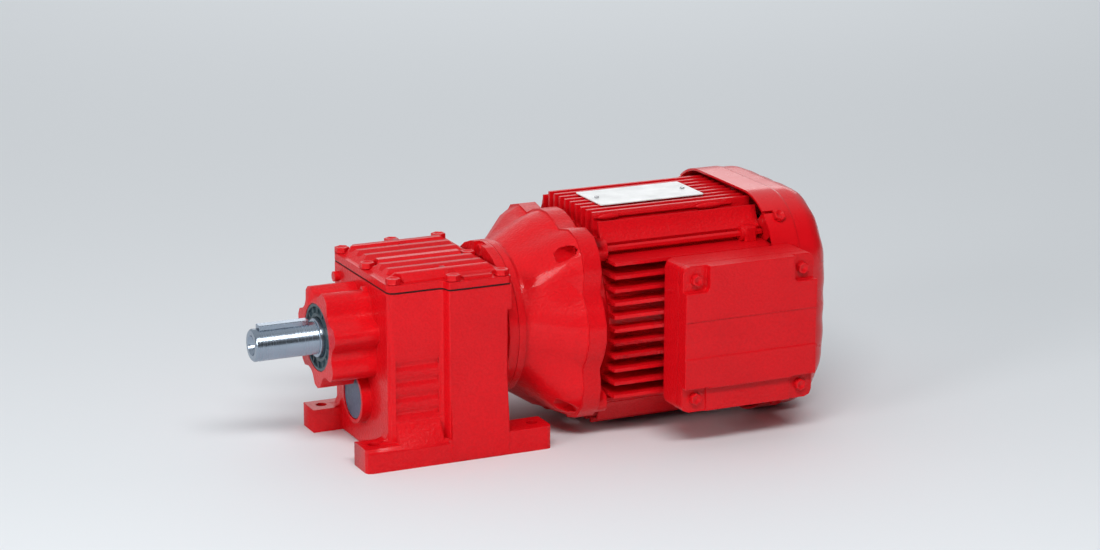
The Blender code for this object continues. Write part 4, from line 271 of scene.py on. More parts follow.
class StudioSettings(PropertyGroup):
    """Floor, lamps and camera."""

    floor_reach: length("Floor reach", "Distance from the middle of the floor to its edge", 9000.0, 1000.0)
    floor_glow: plain_number("Far floor", "How much paler the far floor looks to the camera", 0.18)
    glow_distance: length("Glow distance", "Distance behind the unit to the full glow", 2200.0, 100.0)
    floor_colour: colour_of("Floor", "Colour of the floor", 0.76, 0.785, 0.81)
    key_power: plain_number("Key light", "Power of the light from the front, in watts", 42.0)
    fill_power: plain_number("Fill light", "Power of the light from the left, in watts", 14.0)
    sheen_power: plain_number("Sheen light", "Power of the light that the tops reflect, in watts", 4.0)
    world_level: plain_number("World level", "Strength of the light all round", 0.40)
    camera_lens: FloatProperty(
        name="Lens", description="Focal length on a 36 mm wide picture", min=1, default=98.935,
        subtype="DISTANCE_CAMERA")


# Making and placing

def box_of(node):
    """Lowest and highest corner of a node."""
    low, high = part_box(node)
    return Vector(low), Vector(high)


def piece_from(form, name, material, sharp=TURNED_SHARP, smooth=True):
    """Object at the origin from a bmesh, with smooth faces between its sharp edges."""
    bmesh.ops.recalc_face_normals(form, faces=form.faces)
    for face in form.faces:
        face.smooth = smooth
    mesh = bpy.data.meshes.new(name)
    form.to_mesh(mesh)
    form.free()
    if smooth:
        mesh.set_sharp_from_angle(angle=math.radians(sharp))
    mesh.materials.append(material)
    piece = bpy.data.objects.new(name, mesh)
    bpy.context.scene.collection.objects.link(piece)
    return piece


def merged_form(node):
    """Form of a node with its corners merged and its flat faces whole."""
    form = bmesh.new()
    form.from_mesh(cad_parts[node].data)
    bmesh.ops.remove_doubles(form, verts=form.verts, dist=MERGE)
    bmesh.ops.dissolve_limit(form, angle_limit=math.radians(FLAT_TURN), verts=form.verts,
                             edges=form.edges, delimit={"NORMAL"})
    return form


def even_flats(piece):
    """Keeps large flat faces flat where they meet rounded ones."""
    weigh = piece.modifiers.new("flat faces stay flat", "WEIGHTED_NORMAL")
    weigh.keep_sharp = True
    weigh.weight = 100


def dressed_copy(node, name, material, sharp):
    """Copy of a node's form with smooth curved faces, which stands for the node."""
    piece = piece_from(merged_form(node), name, material, sharp)
    even_flats(piece)
    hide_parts(node)
    return piece


def softened_piece(form, node, name, material, width, segments=2):
    """Piece with its sharp edges rounded, which stands for a node."""
    piece = piece_from(form, name, material, ROUNDED_SHARP)
    rounding = piece.modifiers.new("rounded edges", "BEVEL")
    rounding.width, rounding.segments = width, segments
    rounding.limit_method, rounding.angle_limit = "ANGLE", math.radians(EDGE_TURN)
    even_flats(piece)
    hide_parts(node)
    return piece


def softened_copy(node, name, material, width, segments=2):
    """Copy of a node's form with its sharp edges rounded, which stands for the node."""
    return softened_piece(merged_form(node), node, name, material, width, segments)


def pocket_corners(form):
    """Inner corners, square to the lid's face, of the pockets round its upper screws."""
    face = min(v.co.y for v in form.verts)
    corners = []
    for edge in form.edges:
        along = edge.verts[1].co - edge.verts[0].co
        outer = min(v.co.y for v in edge.verts) < face + 0.1 * MM and edge.verts[0].co.z > SHAFT_Z
        if outer and abs(along.y) > 0.9 * along.length and edge.is_manifold and not edge.is_convex:
            corners.append(edge)
    return corners


def carved(piece, cutting_form, title, sharp=TURNED_SHARP):
    """Cuts a form out of a piece and keeps the result as the piece's mesh."""
    cutter = piece_from(cutting_form, f"{piece.name}_{title}", piece.data.materials[0], smooth=False)
    cutting = piece.modifiers.new(title, "BOOLEAN")
    cutting.object, cutting.solver, cutting.operation = cutter, "EXACT", "DIFFERENCE"
    graph = bpy.context.evaluated_depsgraph_get()
    mesh = bpy.data.meshes.new_from_object(piece.evaluated_get(graph))
    piece.modifiers.clear()
    piece.data = mesh
    mesh.set_sharp_from_angle(angle=math.radians(sharp))
    bpy.data.objects.remove(cutter)


def slab(form, low, high):
    """Block between two corners, added to a form."""
    low, high = Vector(low), Vector(high)
    made = bmesh.ops.create_cube(form, size=1.0)
    bmesh.ops.scale(form, vec=high - low, verts=made["verts"])
    bmesh.ops.translate(form, vec=(low + high) / 2, verts=made["verts"])
    return made["verts"]


def upright_edges(form):
    """Edges of a block that stand along Z."""
    return [edge for edge in form.edges if abs(edge.verts[0].co.z - edge.verts[1].co.z) > 0.1 * MM]


def softened(form, edges, width, segments=2):
    """Rounds some edges of a form."""
    bmesh.ops.bevel(form, geom=list(edges), offset=width, offset_type="OFFSET", affect="EDGES",
                    segments=segments, profile=0.5, material=-1, clamp_overlap=True)


def painted(node, material):
    """Gives a carried-over node its finish."""
    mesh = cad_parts[node].data
    mesh.materials.clear()
    mesh.materials.append(material)


def spun(profile, front, height, steps, closed=False):
    """Form turned round an axis along X from points of distance behind the front and radius, in mm."""
    form = bmesh.new()
    centre = Vector((front, 0.0, height))
    points = [form.verts.new(centre + Vector((back * MM, 0.0, radius * MM))) for back, radius in profile]
    ends = points[1:] + points[:1] if closed else points[1:]
    edges = [form.edges.new(pair) for pair in zip(points, ends)]
    bmesh.ops.spin(form, geom=points + edges, cent=centre, axis=(1, 0, 0), angle=math.tau,
                   steps=steps, use_merge=True)
    bmesh.ops.remove_doubles(form, verts=form.verts, dist=MERGE)
    return form


def head_face(form):
    """Top of a bolt's head: the largest regular hexagon among the faces."""
    even = []
    for face in form.faces:
        sides = [edge.calc_length() for edge in face.edges]
        if len(sides) == 6 and max(sides) - min(sides) < UNEVEN_SIDES * max(sides):
            even.append(face)
    return max(even, key=lambda face: face.calc_area())


def forged_bolt(node, bolts):
    """Form of a hexagon bolt in a node's place, with a chamfered, dished head over a round collar."""
    form = merged_form(node)
    top = head_face(form)
    axis, centre = top.normal.copy(), top.calc_center_median()
    radius = (top.verts[0].co - centre).length
    outer = [v.co for v in form.verts if (v.co - centre).cross(axis).length > HEAD_EDGE * radius]
    height = max((centre - corner).dot(axis) for corner in outer)
    softened(form, top.edges, bolts.chamfer)
    top = head_face(form)
    bmesh.ops.inset_region(form, faces=[top], thickness=bolts.rim * radius, depth=0.0)
    bmesh.ops.inset_region(form, faces=[top], thickness=bolts.dish, depth=-bolts.dish)
    base = centre - axis * (height - bolts.washer / 2)
    turn = axis.to_track_quat("Z", "Y").to_matrix().to_4x4()
    bmesh.ops.create_cone(
        form, cap_ends=True, segments=bolts.washer_steps, radius1=bolts.washer_foot * radius,
        radius2=bolts.washer_top * radius, depth=bolts.washer, matrix=Matrix.Translation(base) @ turn)
    return form


# Finishes

class Finish:
    """One procedural material on Object coordinates, built up node by node."""

    def __init__(self, name, metallic=0.0):
        self.material = bpy.data.materials.new(name)
        self.material.use_nodes = True
        tree = self.material.node_tree
        tree.nodes.clear()
        self.nodes, self.links = tree.nodes, tree.links
        self.shader = self.nodes.new("ShaderNodeBsdfPrincipled")
        out = self.nodes.new("ShaderNodeOutputMaterial")
        self.links.new(self.shader.outputs["BSDF"], out.inputs["Surface"])
        self.shader.inputs["Metallic"].default_value = metallic
        self.where = self.nodes.new("ShaderNodeTexCoord").outputs["Object"]

    def stretched(self, scale):
        """Object coordinates scaled by three factors."""
        mapping = self.nodes.new("ShaderNodeMapping")
        mapping.inputs["Scale"].default_value = scale
        self.links.new(self.where, mapping.inputs["Vector"])
        return mapping.outputs["Vector"]

    def noise(self, size, detail=2.0, where=None, rough=0.5):
        """Noise whose patches are about size wide."""
        noise = self.nodes.new("ShaderNodeTexNoise")
        noise.inputs["Scale"].default_value = 1.0 / size
        noise.inputs["Detail"].default_value = detail
        noise.inputs["Roughness"].default_value = rough
        self.links.new(where or self.where, noise.inputs["Vector"])
        return noise.outputs["Fac"]

    def between(self, factor, low, high, start=0.3, end=0.7):
        """Number that goes from low to high as the factor goes from start to end."""
        ranged = self.nodes.new("ShaderNodeMapRange")
        ranged.inputs["From Min"].default_value = start
        ranged.inputs["From Max"].default_value = end
        ranged.inputs["To Min"].default_value = low
        ranged.inputs["To Max"].default_value = high
        self.links.new(factor, ranged.inputs["Value"])
        return ranged.outputs["Result"]

    def colours(self, factor, *stops):
        """Colour ramp with (place, colour) stops."""
        ramp = self.nodes.new("ShaderNodeValToRGB")
        elements = ramp.color_ramp.elements
        while len(elements) < len(stops):
            elements.new(0.5)
        for element, (position, colour) in zip(elements, stops):
            element.position = position
            element.color = (*colour, 1.0)
        self.links.new(factor, ramp.inputs["Fac"])
        return ramp.outputs["Color"]

    def painted_shade_and_highlight(self, colour, share):
        """Colour made darker or lighter by a share that changes over the surface: painted shade and painted
        highlight.
        """
        scale = self.nodes.new("ShaderNodeVectorMath")
        scale.operation = "SCALE"
        self.links.new(colour, scale.inputs["Vector"])
        self.links.new(share, scale.inputs["Scale"])
        return scale.outputs["Vector"]

    def rounded_edges(self, radius):
        """Normal that rolls over the edges."""
        bevel = self.nodes.new("ShaderNodeBevel")
        bevel.samples = 6
        bevel.inputs["Radius"].default_value = radius
        return bevel.outputs["Normal"]

    def far_glow(self, strength, distance):
        """Glow for the camera and in reflections, from none near the unit to full strength far behind."""
        split = self.nodes.new("ShaderNodeSeparateXYZ")
        self.links.new(self.where, split.inputs["Vector"])
        rays = self.nodes.new("ShaderNodeLightPath").outputs
        seen = self.combined("MAXIMUM", rays["Is Camera Ray"], rays["Is Glossy Ray"])
        seen = self.combined("MAXIMUM", seen, rays["Is Transmission Ray"])
        return self.combined("MULTIPLY", self.between(split.outputs["Y"], 0.0, strength, 0.0, distance), seen)

    def combined(self, operation, first, second):
        """Result of a math operation on two values."""
        step = self.nodes.new("ShaderNodeMath")
        step.operation = operation
        self.links.new(first, step.inputs[0])
        self.links.new(second, step.inputs[1])
        return step.outputs["Value"]

    def bumps(self, *layers, normal=None):
        """Stacked bumps of (height, depth) layers, fed to the shader's normal."""
        for height, depth in layers:
            bump = self.nodes.new("ShaderNodeBump")
            bump.inputs["Distance"].default_value = depth
            bump.inputs["Strength"].default_value = 1.0
            self.links.new(height, bump.inputs["Height"])
            if normal:
                self.links.new(normal, bump.inputs["Normal"])
            normal = bump.outputs["Normal"]
        self.links.new(normal, self.shader.inputs["Normal"])

    def feed(self, **sockets):
        """Links or sets the shader's sockets, with underscores for spaces."""
        for name, value in sockets.items():
            socket = self.shader.inputs[name.replace("_", " ")]
            if isinstance(value, bpy.types.NodeSocket):
                self.links.new(value, socket)
            else:
                socket.default_value = value


def shade_of(colour, level):
    """Colour at another level of brightness."""
    return tuple(min(1.0, part * level) for part in colour)


def cast_paint(paint, name="cast red paint"):
    """Semi-gloss red over a sand-cast skin, with painted shade in the grain's pits and a painted highlight on
    its raised tops.
    """
    finish = Finish(name)
    colour = tuple(paint.cast_colour)
    patches = finish.noise(60 * MM, 3)
    grain = finish.noise(paint.grain_size, 3, rough=0.6)
    even = finish.colours(patches, (0.3, shade_of(colour, 0.93)), (0.7, shade_of(colour, 1.04)))
    # Base colour: a tone that changes at random in patches, with painted shade in the grain's pits and a
    # painted highlight on its raised tops.
    finish.feed(
        Base_Color=finish.painted_shade_and_highlight(even, finish.between(grain, 0.93, 1.04, 0.35, 0.65)),
        Roughness=finish.between(grain, paint.gloss_roughness + 0.08, paint.gloss_roughness - 0.06),
        Specular_IOR_Level=0.12, Coat_Weight=0.22, Coat_Roughness=0.12)
    finish.bumps(
        (finish.noise(7 * MM, 2), 0.15 * MM),
        (grain, paint.grain_depth),
        normal=finish.rounded_edges(paint.edge_round))
    return finish.material


def sheet_paint(paint):
    """Smoother gloss red on pressed sheet."""
    finish = Finish("sheet red paint")
    colour = tuple(paint.sheet_colour)
    patches = finish.noise(90 * MM, 2)
    finish.feed(
        Base_Color=finish.colours(patches, (0.3, shade_of(colour, 0.96)), (0.7, shade_of(colour, 1.03))),
        Roughness=finish.between(finish.noise(14 * MM, 2), 0.26, 0.33),
        Specular_IOR_Level=0.14, Coat_Weight=0.5, Coat_Roughness=0.16)
    finish.bumps(
        (finish.noise(30 * MM, 1), 0.10 * MM),
        (finish.noise(1.6 * MM, 2), 0.02 * MM))
    return finish.material


def turned_steel(steel, name="turned steel", colour=None, level=0.24):
    """Bare steel with fine turning marks round X."""
    finish = Finish(name, metallic=1.0)
    colour = tuple(colour or steel.steel_colour)
    marks = finish.noise(steel.turning_pitch, 2, finish.stretched(ROUND_X))
    stain = finish.noise(24 * MM, 2)
    finish.feed(
        Base_Color=finish.colours(stain, (0.3, shade_of(colour, 0.92)), (0.7, shade_of(colour, 1.05))),
        Roughness=finish.between(marks, level - 0.03, level + 0.05))
    finish.bumps((marks, 0.0003 * MM), normal=finish.rounded_edges(0.2 * MM))
    return finish.material


def plain_finish(name, colour, roughness, spread, grain, depth, metallic=0.0):
    """Finish with a fine grain and a slight change of tone."""
    finish = Finish(name, metallic=metallic)
    tone = finish.noise(18 * MM, 3)
    finish.feed(
        Base_Color=finish.colours(tone, (0.3, shade_of(colour, 0.85)), (0.7, shade_of(colour, 1.12))),
        Roughness=finish.between(finish.noise(grain * 4, 2), roughness - spread, roughness + spread))
    finish.bumps((finish.noise(grain, 2), depth), normal=finish.rounded_edges(0.3 * MM))
    return finish.material


def laminated_core():
    """Stacked sheet steel with a line every half millimetre."""
    finish = Finish("stacked core steel", metallic=1.0)
    sheets = finish.noise(0.5 * MM, 1, finish.stretched(ROUND_X))
    finish.feed(
        Base_Color=finish.colours(sheets, (0.35, (0.14, 0.14, 0.15)), (0.65, (0.34, 0.34, 0.35))),
        Roughness=finish.between(sheets, 0.4, 0.6))
    finish.bumps((sheets, 0.03 * MM))
    return finish.material


def wound_copper():
    """Varnished copper turns bound round the core's end."""
    finish = Finish("varnished copper", metallic=0.6)
    turns = finish.noise(0.9 * MM, 2, finish.stretched((1, 0.12, 0.12)))
    finish.feed(
        Base_Color=finish.colours(turns, (0.3, (0.20, 0.05, 0.015)), (0.7, (0.48, 0.16, 0.05))),
        Roughness=finish.between(turns, 0.28, 0.45), Coat_Weight=0.5, Coat_Roughness=0.15)
    finish.bumps((turns, 0.25 * MM))
    return finish.material


# Pieces

class GEARUNIT_OT_castings(Operator):
    """Give the castings smooth curved faces and cast paint"""

    bl_idname = "gear_unit.castings"
    bl_label = "Castings"

    def execute(self, context):
        paint = cast_paint(context.scene.gear_unit_paint)
        for node, sharp in CASTINGS.items():
            piece = dressed_copy(node, f"painted_{node}", paint, sharp)
            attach(piece, HOUSING)
        return {"FINISHED"}


class GEARUNIT_OT_terminal_box(Operator):
    """Round the cast edges of the terminal box and its lid"""

    bl_idname = "gear_unit.terminal_box"
    bl_label = "Terminal box"

    def execute(self, context):
        paint = cast_paint(context.scene.gear_unit_paint, "terminal box paint")
        edges = context.scene.gear_unit_edges
        for node in ("terminal_box", "terminal_lid"):
            form = merged_form(node)
            if node == "terminal_lid":
                softened(form, pocket_corners(form), edges.pocket_corner, 4)
            piece = softened_piece(form, node, f"painted_{node}", paint, edges.box_edge)
            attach(piece, HOUSING)
        return {"FINISHED"}


def at_corner(spot, side, level):
    """Point at one of the motor's corners, from its distances along X and from the shaft's axis."""
    return Vector((spot[0], side * spot[1], SHAFT_Z + level * spot[2]))


class GEARUNIT_OT_corner_details(Operator):
    """Add the lugs round the tie bolts and the ledges with small pads beside the outer fins"""

    bl_idname = "gear_unit.corner_details"
    bl_label = "Motor corner details"

    def execute(self, context):
        paint = cast_paint(context.scene.gear_unit_paint, "motor corner paint")
        details, edges = context.scene.gear_unit_corners, context.scene.gear_unit_edges
        lugs, pads = bmesh.new(), bmesh.new()
        turned = Matrix.Rotation(math.radians(90), 4, "Y")
        for side, level in CORNERS:
            for form, spot, size in ((lugs, details.lug_place, details.lug_size),
                                     (pads, details.ledge_place, details.ledge_size)):
                middle = at_corner(spot, side, level)
                slab(form, middle - Vector(size) / 2, middle + Vector(size) / 2)
            for start, end in PADS:
                half = (end - start) / 2 * MM
                spot = ((start + end) / 2 * MM, details.pad_aside, details.ledge_place[2])
                shape = Matrix.Diagonal((half, details.pad_half_width, details.pad_height, 1.0))
                bmesh.ops.create_uvsphere(
                    pads, u_segments=24, v_segments=12, radius=1.0,
                    matrix=Matrix.Translation(at_corner(spot, side, level)) @ shape @ turned)
        softened(lugs, lugs.edges, edges.lug_edge, 3)
        for side, level in CORNERS:
            middle = at_corner(details.collar_place, side, level)
            bmesh.ops.create_cone(
                lugs, cap_ends=True, segments=32, radius1=details.collar_radius,
                radius2=details.collar_radius, depth=details.collar_depth,
                matrix=Matrix.Translation(middle) @ turned)
        for form, name in ((lugs, "tie_bolt_lugs"), (pads, "fin_ledges")):
            piece = piece_from(form, name, paint, ROUNDED_SHARP)
            even_flats(piece)
            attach(piece, HOUSING)
        return {"FINISHED"}


def rounded_reach(angle, half, corner):
    """Distance from the middle of a rounded square to its outline at an angle."""
    across, up = abs(math.cos(angle)), abs(math.sin(angle))
    middle = half - corner
    if min(across, up) * half <= middle * max(across, up):
        return half / max(across, up)
    span = middle * (across + up)
    return span + math.sqrt(span * span - 2 * middle * middle + corner * corner)


def cowl_stations(cowl, front, rear, half):
    """Rings of the cowl from the open front to the rear face: place along X, half width and corner."""
    bead = front + cowl.bead_at
    rings = [(front, half, cowl.corner), (bead - cowl.bead_lead, half, cowl.corner)]
    for share in BEAD_SHARES:
        inward = cowl.bead_step * share
        rings.append((bead + cowl.bead_width * share, half - inward, cowl.corner - inward))
    for i in range(cowl.shoulder_steps + 1):
        angle = math.radians(90 * i / cowl.shoulder_steps)
        pull = cowl.shoulder * (1 - math.cos(angle)) + cowl.bead_step * math.cos(angle)
        rings.append((rear - cowl.shoulder * (1 - math.sin(angle)), half - pull, cowl.corner))
    return rings


def cowl_shell(cowl, low, high):
    """Pressed sheet from the open front over the rolled shoulder to the flat rear face."""
    form = bmesh.new()
    half = (high.y - low.y) / 2
    ring = bmesh.ops.create_circle(form, segments=cowl.sides, radius=1.0)["verts"]
    angles = {v: math.atan2(v.co.y, v.co.x) for v in ring}
    edges = list(form.edges)
    for number, (station, width, corner) in enumerate(cowl_stations(cowl, low.x, high.x, half)):
        if number:
            made = bmesh.ops.extrude_edge_only(form, edges=edges)["geom"]
            ring = [item for item in made if isinstance(item, bmesh.types.BMVert)]
            edges = [item for item in made if isinstance(item, bmesh.types.BMEdge)
                     and all(v in ring for v in item.verts)]
            angles = {v: math.atan2(v.co.z - SHAFT_Z, v.co.y) for v in ring}
        for v in ring:
            reach = rounded_reach(angles[v], width, corner)
            rolled = max(0.0, 1 - (high.x - station) / cowl.shoulder)
            reach -= cowl.flute_depth * rolled * (0.5 - 0.5 * math.cos(cowl.flutes * angles[v]))
            v.co = (station, reach * math.cos(angles[v]), SHAFT_Z + reach * math.sin(angles[v]))
    bmesh.ops.contextual_create(form, geom=edges)
    bmesh.ops.recalc_face_normals(form, faces=form.faces)
    middle = Vector((low.x, 0, SHAFT_Z))
    if sum(face.normal.dot(face.calc_center_median() - middle) for face in form.faces) < 0:
        bmesh.ops.reverse_faces(form, faces=form.faces)
    bmesh.ops.solidify(form, geom=list(form.faces), thickness=cowl.sheet)
    return form


def grille_cutters(cowl, rear):
    """Arched slots of the air grille, as solids through the rear sheet."""
    form = bmesh.new()
    middle, span = Vector((rear, 0.0, SHAFT_Z)), math.tau / cowl.grille_spokes
    inside, outside = -3 * CUT_PAST, CUT_PAST
    for ring in range(cowl.grille_rings):
        inner = cowl.grille_inner + ring * cowl.slot_pitch
        outer = inner + cowl.slot_width
        gap = cowl.spoke_width / (inner + outer)
        for spoke in range(cowl.grille_spokes):
            section = ((inside, inner), (outside, inner), (outside, outer), (inside, outer))
            corners = [form.verts.new(middle + Vector((past, 0.0, radius))) for past, radius in section]
            face = form.faces.new(corners)
            bmesh.ops.rotate(form, cent=middle, matrix=Matrix.Rotation(span * spoke + gap, 3, "X"),
                             verts=corners)
            bmesh.ops.spin(form, geom=[face, *face.edges, *face.verts], cent=middle, axis=(1, 0, 0),
                           angle=span - 2 * gap, steps=cowl.grille_steps)
    bmesh.ops.remove_doubles(form, verts=form.verts, dist=MERGE)
    return form


def notch_cutters(cowl, front):
    """Notches in the cowl's open front, above the upper screws and below the lower ones."""
    form = bmesh.new()
    for quarter in range(4):
        aside = SHAFT_Z + (-cowl.notch_aside if quarter % 2 else cowl.notch_aside)
        verts = slab(
            form, (front - CUT_PAST / 2, cowl.notch_reach - 10 * CUT_PAST, aside - cowl.notch_width / 2),
            (front + cowl.notch_depth, cowl.notch_reach, aside + cowl.notch_width / 2))
        turn = Matrix.Rotation(math.radians(45 + 90 * quarter), 3, "X")
        bmesh.ops.rotate(form, cent=(0, 0, SHAFT_Z), matrix=turn, verts=verts)
    return form


class GEARUNIT_OT_fan_cowl(Operator):
    """Press the fan cowl from smooth sheet, with its bead, rolled shoulder and air grille"""

    bl_idname = "gear_unit.fan_cowl"
    bl_label = "Fan cowl"

    def execute(self, context):
        paint = sheet_paint(context.scene.gear_unit_paint)
        cowl = context.scene.gear_unit_cowl
        low, high = box_of("fan_cowl")
        piece = piece_from(cowl_shell(cowl, low, high), "pressed_fan_cowl", paint, PRESSED_SHARP)
        carved(piece, grille_cutters(cowl, high.x), "air_grille", PRESSED_SHARP)
        carved(piece, notch_cutters(cowl, low.x), "front_notches", PRESSED_SHARP)
        even_flats(piece)
        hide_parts("fan_cowl")
        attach(piece, HOUSING)
        return {"FINISHED"}


class GEARUNIT_OT_bolts(Operator):
    """Forge the painted bolts and screws with a collar and a chamfered, dished head"""

    bl_idname = "gear_unit.bolts"
    bl_label = "Bolts and screws"

    def execute(self, context):
        paint = cast_paint(context.scene.gear_unit_paint, "painted bolt")
        steel = plain_finish("bolt steel", (0.5, 0.5, 0.52), 0.3, 0.06, 0.5 * MM, 0.01 * MM, 1.0)
        for node in sorted(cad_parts):
            if node.startswith(PAINTED_BOLTS):
                form = forged_bolt(node, context.scene.gear_unit_bolts)
                piece = piece_from(form, f"forged_{node}", paint, FORGED_SHARP)
                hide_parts(node)
                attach(piece, HOUSING)
            elif node.startswith("flange_bolt_inner_"):
                painted(node, steel)
        return {"FINISHED"}


class GEARUNIT_OT_output_shaft(Operator):
    """Turn the output shaft with its centre hole, mill its keyway and fit its key"""

    bl_idname = "gear_unit.output_shaft"
    bl_label = "Output shaft and key"

    def execute(self, context):
        steel, edges = context.scene.gear_unit_steel, context.scene.gear_unit_edges
        bright = turned_steel(steel)
        low, _ = box_of("output_shaft")
        form = spun(SHAFT_PROFILE, low.x, SHAFT_Z, steel.shaft_sides)
        shaft = piece_from(form, "turned_output_shaft", bright)
        key_low, key_high = box_of("output_key")
        keyway, play = bmesh.new(), edges.key_play
        slab(keyway, (key_low.x - play, key_low.y - play, key_low.z),
             (key_high.x + play, key_high.y + play, key_high.z + CUT_PAST))
        softened(keyway, upright_edges(keyway), edges.keyway_corner, 3)
        carved(shaft, keyway, "keyway")
        key = softened_copy("output_key", "ground_output_key", bright, edges.key_edge)
        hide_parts("output_shaft")
        for piece in (shaft, key):
            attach(piece, OUTPUT)
        return {"FINISHED"}


class GEARUNIT_OT_inner_train(Operator):
    """Finish the inner shafts, the gears and the bearings"""

    bl_idname = "gear_unit.inner_train"
    bl_label = "Inner shafts and gears"

    def execute(self, context):
        steel = context.scene.gear_unit_steel
        bright = turned_steel(steel, "inner shaft steel")
        for node in ("rotor_shaft", "countershaft"):
            painted(node, bright)
        ground = turned_steel(steel, "ground gear steel", steel.gear_colour, 0.32)
        for node in ("output_gear", "countershaft_wheel", "motor_pinion"):
            painted(node, ground)
        bearing = plain_finish("bearing steel", (0.55, 0.55, 0.57), 0.22, 0.05, 0.6 * MM, 0.004 * MM, 1.0)
        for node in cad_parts:
            if "_bearing_" in node:
                painted(node, bearing)
        return {"FINISHED"}


class GEARUNIT_OT_seals(Operator):
    """Mould the ribbed shaft seal and the bore's cap, and finish the gasket"""

    bl_idname = "gear_unit.seals"
    bl_label = "Seals and cap"

    def execute(self, context):
        seals = context.scene.gear_unit_seals
        rubber = plain_finish("seal rubber", (0.032, 0.062, 0.078), 0.42, 0.08, 0.8 * MM, 0.02 * MM)
        low, _ = box_of("output_seal")
        form = spun(SEAL_PROFILE, low.x, SHAFT_Z, seals.seal_steps, closed=True)
        for number in range(seals.ribs):
            rib = slab(form, (low.x + seals.rib_front, -seals.rib_width / 2, SHAFT_Z + seals.rib_inner),
                       (low.x + seals.rib_rear, seals.rib_width / 2, SHAFT_Z + seals.rib_outer))
            bmesh.ops.rotate(form, cent=(0, 0, SHAFT_Z), verts=rib,
                             matrix=Matrix.Rotation(math.tau * number / seals.ribs, 3, "X"))
        seal = piece_from(form, "ribbed_output_seal", rubber)
        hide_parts("output_seal")
        cap_rubber = plain_finish("cap rubber", (0.065, 0.085, 0.145), 0.42, 0.06, 0.7 * MM, 0.012 * MM)
        low, _ = box_of("countershaft_cap")
        form = spun(CAP_PROFILE, low.x, COUNTER_Z, seals.cap_steps)
        cap = piece_from(form, "moulded_bore_cap", cap_rubber)
        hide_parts("countershaft_cap")
        for piece in (seal, cap):
            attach(piece, HOUSING)
        painted("motor_oil_seal", rubber)
        gasket = plain_finish("gasket", (0.012, 0.004, 0.004), 0.85, 0.05, 0.9 * MM, 0.04 * MM)
        painted("cover_gasket", gasket)
        return {"FINISHED"}


class GEARUNIT_OT_motor_inside(Operator):
    """Finish the rotor, the stator core, the windings, the fan and the terminal board"""

    bl_idname = "gear_unit.motor_inside"
    bl_label = "Inside of the motor"

    def execute(self, context):
        painted("stator_core", laminated_core())
        copper = wound_copper()
        painted("winding_front", copper)
        painted("winding_rear", copper)
        aluminium = plain_finish("rotor aluminium", (0.6, 0.6, 0.62), 0.4, 0.08, 1.2 * MM, 0.03 * MM, 1.0)
        painted("rotor_core", aluminium)
        plastic = plain_finish("black plastic", (0.02, 0.02, 0.022), 0.45, 0.08, 0.9 * MM, 0.02 * MM)
        for node in ("cooling_fan", "terminal_board", "cable_entry_plug_1", "cable_entry_plug_2"):
            painted(node, plastic)
        return {"FINISHED"}


class GEARUNIT_OT_nameplate(Operator):
    """Stamp the blank nameplate with round corners and dome its rivets"""

    bl_idname = "gear_unit.nameplate"
    bl_label = "Nameplate"

    def execute(self, context):
        edges = context.scene.gear_unit_edges
        metal = plain_finish("blank plate", (0.86, 0.87, 0.87), 0.36, 0.06, 0.5 * MM, 0.004 * MM)
        form = bmesh.new()
        slab(form, *box_of("nameplate"))
        softened(form, upright_edges(form), edges.plate_corner, 5)
        plate = piece_from(form, "stamped_nameplate", metal, PRESSED_SHARP)
        even_flats(plate)
        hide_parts("nameplate")
        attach(plate, HOUSING)
        bright = plain_finish("rivet", (0.5, 0.5, 0.52), 0.3, 0.06, 0.5 * MM, 0.004 * MM, 1.0)
        for node in ("nameplate_rivet_1", "nameplate_rivet_2"):
            rivet = softened_copy(node, f"domed_{node}", bright, edges.rivet_edge, 3)
            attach(rivet, HOUSING)
        return {"FINISHED"}


# Studio

def aimed(spot, target):
    """Matrix at a point whose -Z looks at the target."""
    look = (Vector(target) - Vector(spot)).to_track_quat("-Z", "Y")
    return Matrix.Translation(spot) @ look.to_matrix().to_4x4()


def soft_light(name, spot, size, power):
    """Rectangular lamp that the camera doesn't see."""
    lamp = bpy.data.lights.new(name, "AREA")
    lamp.shape = "RECTANGLE"
    lamp.size, lamp.size_y = size
    lamp.energy = power
    light = bpy.data.objects.new(name, lamp)
    light.matrix_world = aimed(spot, LAMP_TARGET)
    light.visible_camera = False
    bpy.context.scene.collection.objects.link(light)


def studio_air(level):
    """World that is dim in front of the unit and pale behind and above it, so that metal shows bands."""
    world = bpy.data.worlds.new("studio air")
    world.use_nodes = True
    nodes, links = world.node_tree.nodes, world.node_tree.links
    towards = nodes.new("ShaderNodeVectorMath")
    towards.operation = "DOT_PRODUCT"
    towards.inputs[1].default_value = PALE_TOWARDS
    ramp = nodes.new("ShaderNodeValToRGB")
    links.new(nodes.new("ShaderNodeTexCoord").outputs["Generated"], towards.inputs[0])
    links.new(towards.outputs["Value"], ramp.inputs["Fac"])
    elements = ramp.color_ramp.elements
    elements.new(AIR_TONES[1][0])
    for element, (position, tone) in zip(elements, AIR_TONES):
        element.position = position
        element.color = (*(part * tone for part in AIR_COLOUR), 1.0)
    links.new(ramp.outputs["Color"], nodes["Background"].inputs["Color"])
    nodes["Background"].inputs["Strength"].default_value = level
    return world


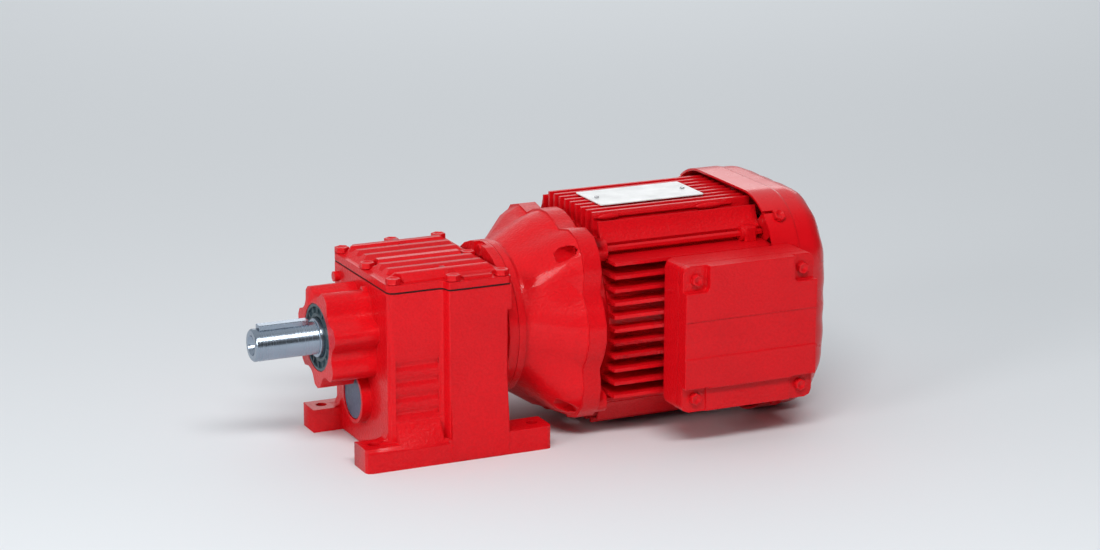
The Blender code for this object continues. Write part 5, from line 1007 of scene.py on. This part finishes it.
class GEARUNIT_OT_studio(Operator):
    """Set up the pale floor, the soft lights and the camera"""

    bl_idname = "gear_unit.studio"
    bl_label = "Studio"

    def execute(self, context):
        studio = context.scene.gear_unit_studio
        form = bmesh.new()
        bmesh.ops.create_grid(form, x_segments=1, y_segments=1, size=studio.floor_reach)
        floor_finish = Finish("studio floor")
        floor_finish.feed(
            Base_Color=floor_finish.colours(
                floor_finish.noise(4.0, 1), (0.3, shade_of(studio.floor_colour, 0.99)),
                (0.7, shade_of(studio.floor_colour, 1.01))),
            Roughness=0.9, Specular_IOR_Level=0.2, Emission_Color=(*AIR_COLOUR, 1.0),
            Emission_Strength=floor_finish.far_glow(studio.floor_glow, studio.glow_distance))
        floor = piece_from(form, "studio_floor", floor_finish.material, smooth=False)

        context.scene.world = studio_air(studio.world_level)

        for name, spot, size, power in LAMPS:
            soft_light(name, spot, size, getattr(studio, power))

        lens = bpy.data.cameras.new("photo_camera")
        lens.sensor_width = 36.0
        lens.lens = studio.camera_lens
        lens.clip_end = 50.0
        camera = bpy.data.objects.new("photo_camera", lens)
        camera.location = CAMERA_PLACE
        camera.rotation_euler = [math.radians(turn) for turn in CAMERA_TURN]
        context.scene.collection.objects.link(camera)
        context.scene.camera = camera
        context.scene.view_settings.view_transform = "Standard"
        return {"FINISHED"}


# Panel and registration

PIECES = (
    GEARUNIT_OT_castings,
    GEARUNIT_OT_terminal_box,
    GEARUNIT_OT_corner_details,
    GEARUNIT_OT_fan_cowl,
    GEARUNIT_OT_bolts,
    GEARUNIT_OT_output_shaft,
    GEARUNIT_OT_inner_train,
    GEARUNIT_OT_seals,
    GEARUNIT_OT_motor_inside,
    GEARUNIT_OT_nameplate,
    GEARUNIT_OT_studio,
)

SETTINGS = {
    "gear_unit_paint": PaintSettings,
    "gear_unit_steel": SteelSettings,
    "gear_unit_bolts": BoltSettings,
    "gear_unit_edges": EdgeSettings,
    "gear_unit_corners": CornerSettings,
    "gear_unit_cowl": CowlSettings,
    "gear_unit_seals": SealSettings,
    "gear_unit_studio": StudioSettings,
}


class GEARUNIT_PT_panel(Panel):
    """Lists the gear unit's settings and pieces"""

    bl_label = "Gear Unit"
    bl_idname = "GEARUNIT_PT_panel"
    bl_space_type = "VIEW_3D"
    bl_region_type = "UI"
    bl_category = "Gear Unit"

    def draw(self, context):
        layout = self.layout
        for attribute, settings in SETTINGS.items():
            box = layout.box()
            for name in settings.__annotations__:
                box.prop(getattr(context.scene, attribute), name)
        for piece in PIECES:
            layout.operator(piece.bl_idname)


def register():
    """Registers the settings, the operators and the panel."""
    for item in (*SETTINGS.values(), *PIECES, GEARUNIT_PT_panel):
        bpy.utils.register_class(item)
    for attribute, settings in SETTINGS.items():
        setattr(bpy.types.Scene, attribute, PointerProperty(type=settings))


def unregister():
    """Takes back what register() did."""
    for attribute in SETTINGS:
        delattr(bpy.types.Scene, attribute)
    for item in reversed((*SETTINGS.values(), *PIECES, GEARUNIT_PT_panel)):
        bpy.utils.unregister_class(item)


def main():
    """Makes every piece in order."""
    register()
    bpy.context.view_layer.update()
    for piece in PIECES:
        getattr(bpy.ops.gear_unit, piece.bl_idname.split(".")[1])()


if __name__ == "__main__":
    main()
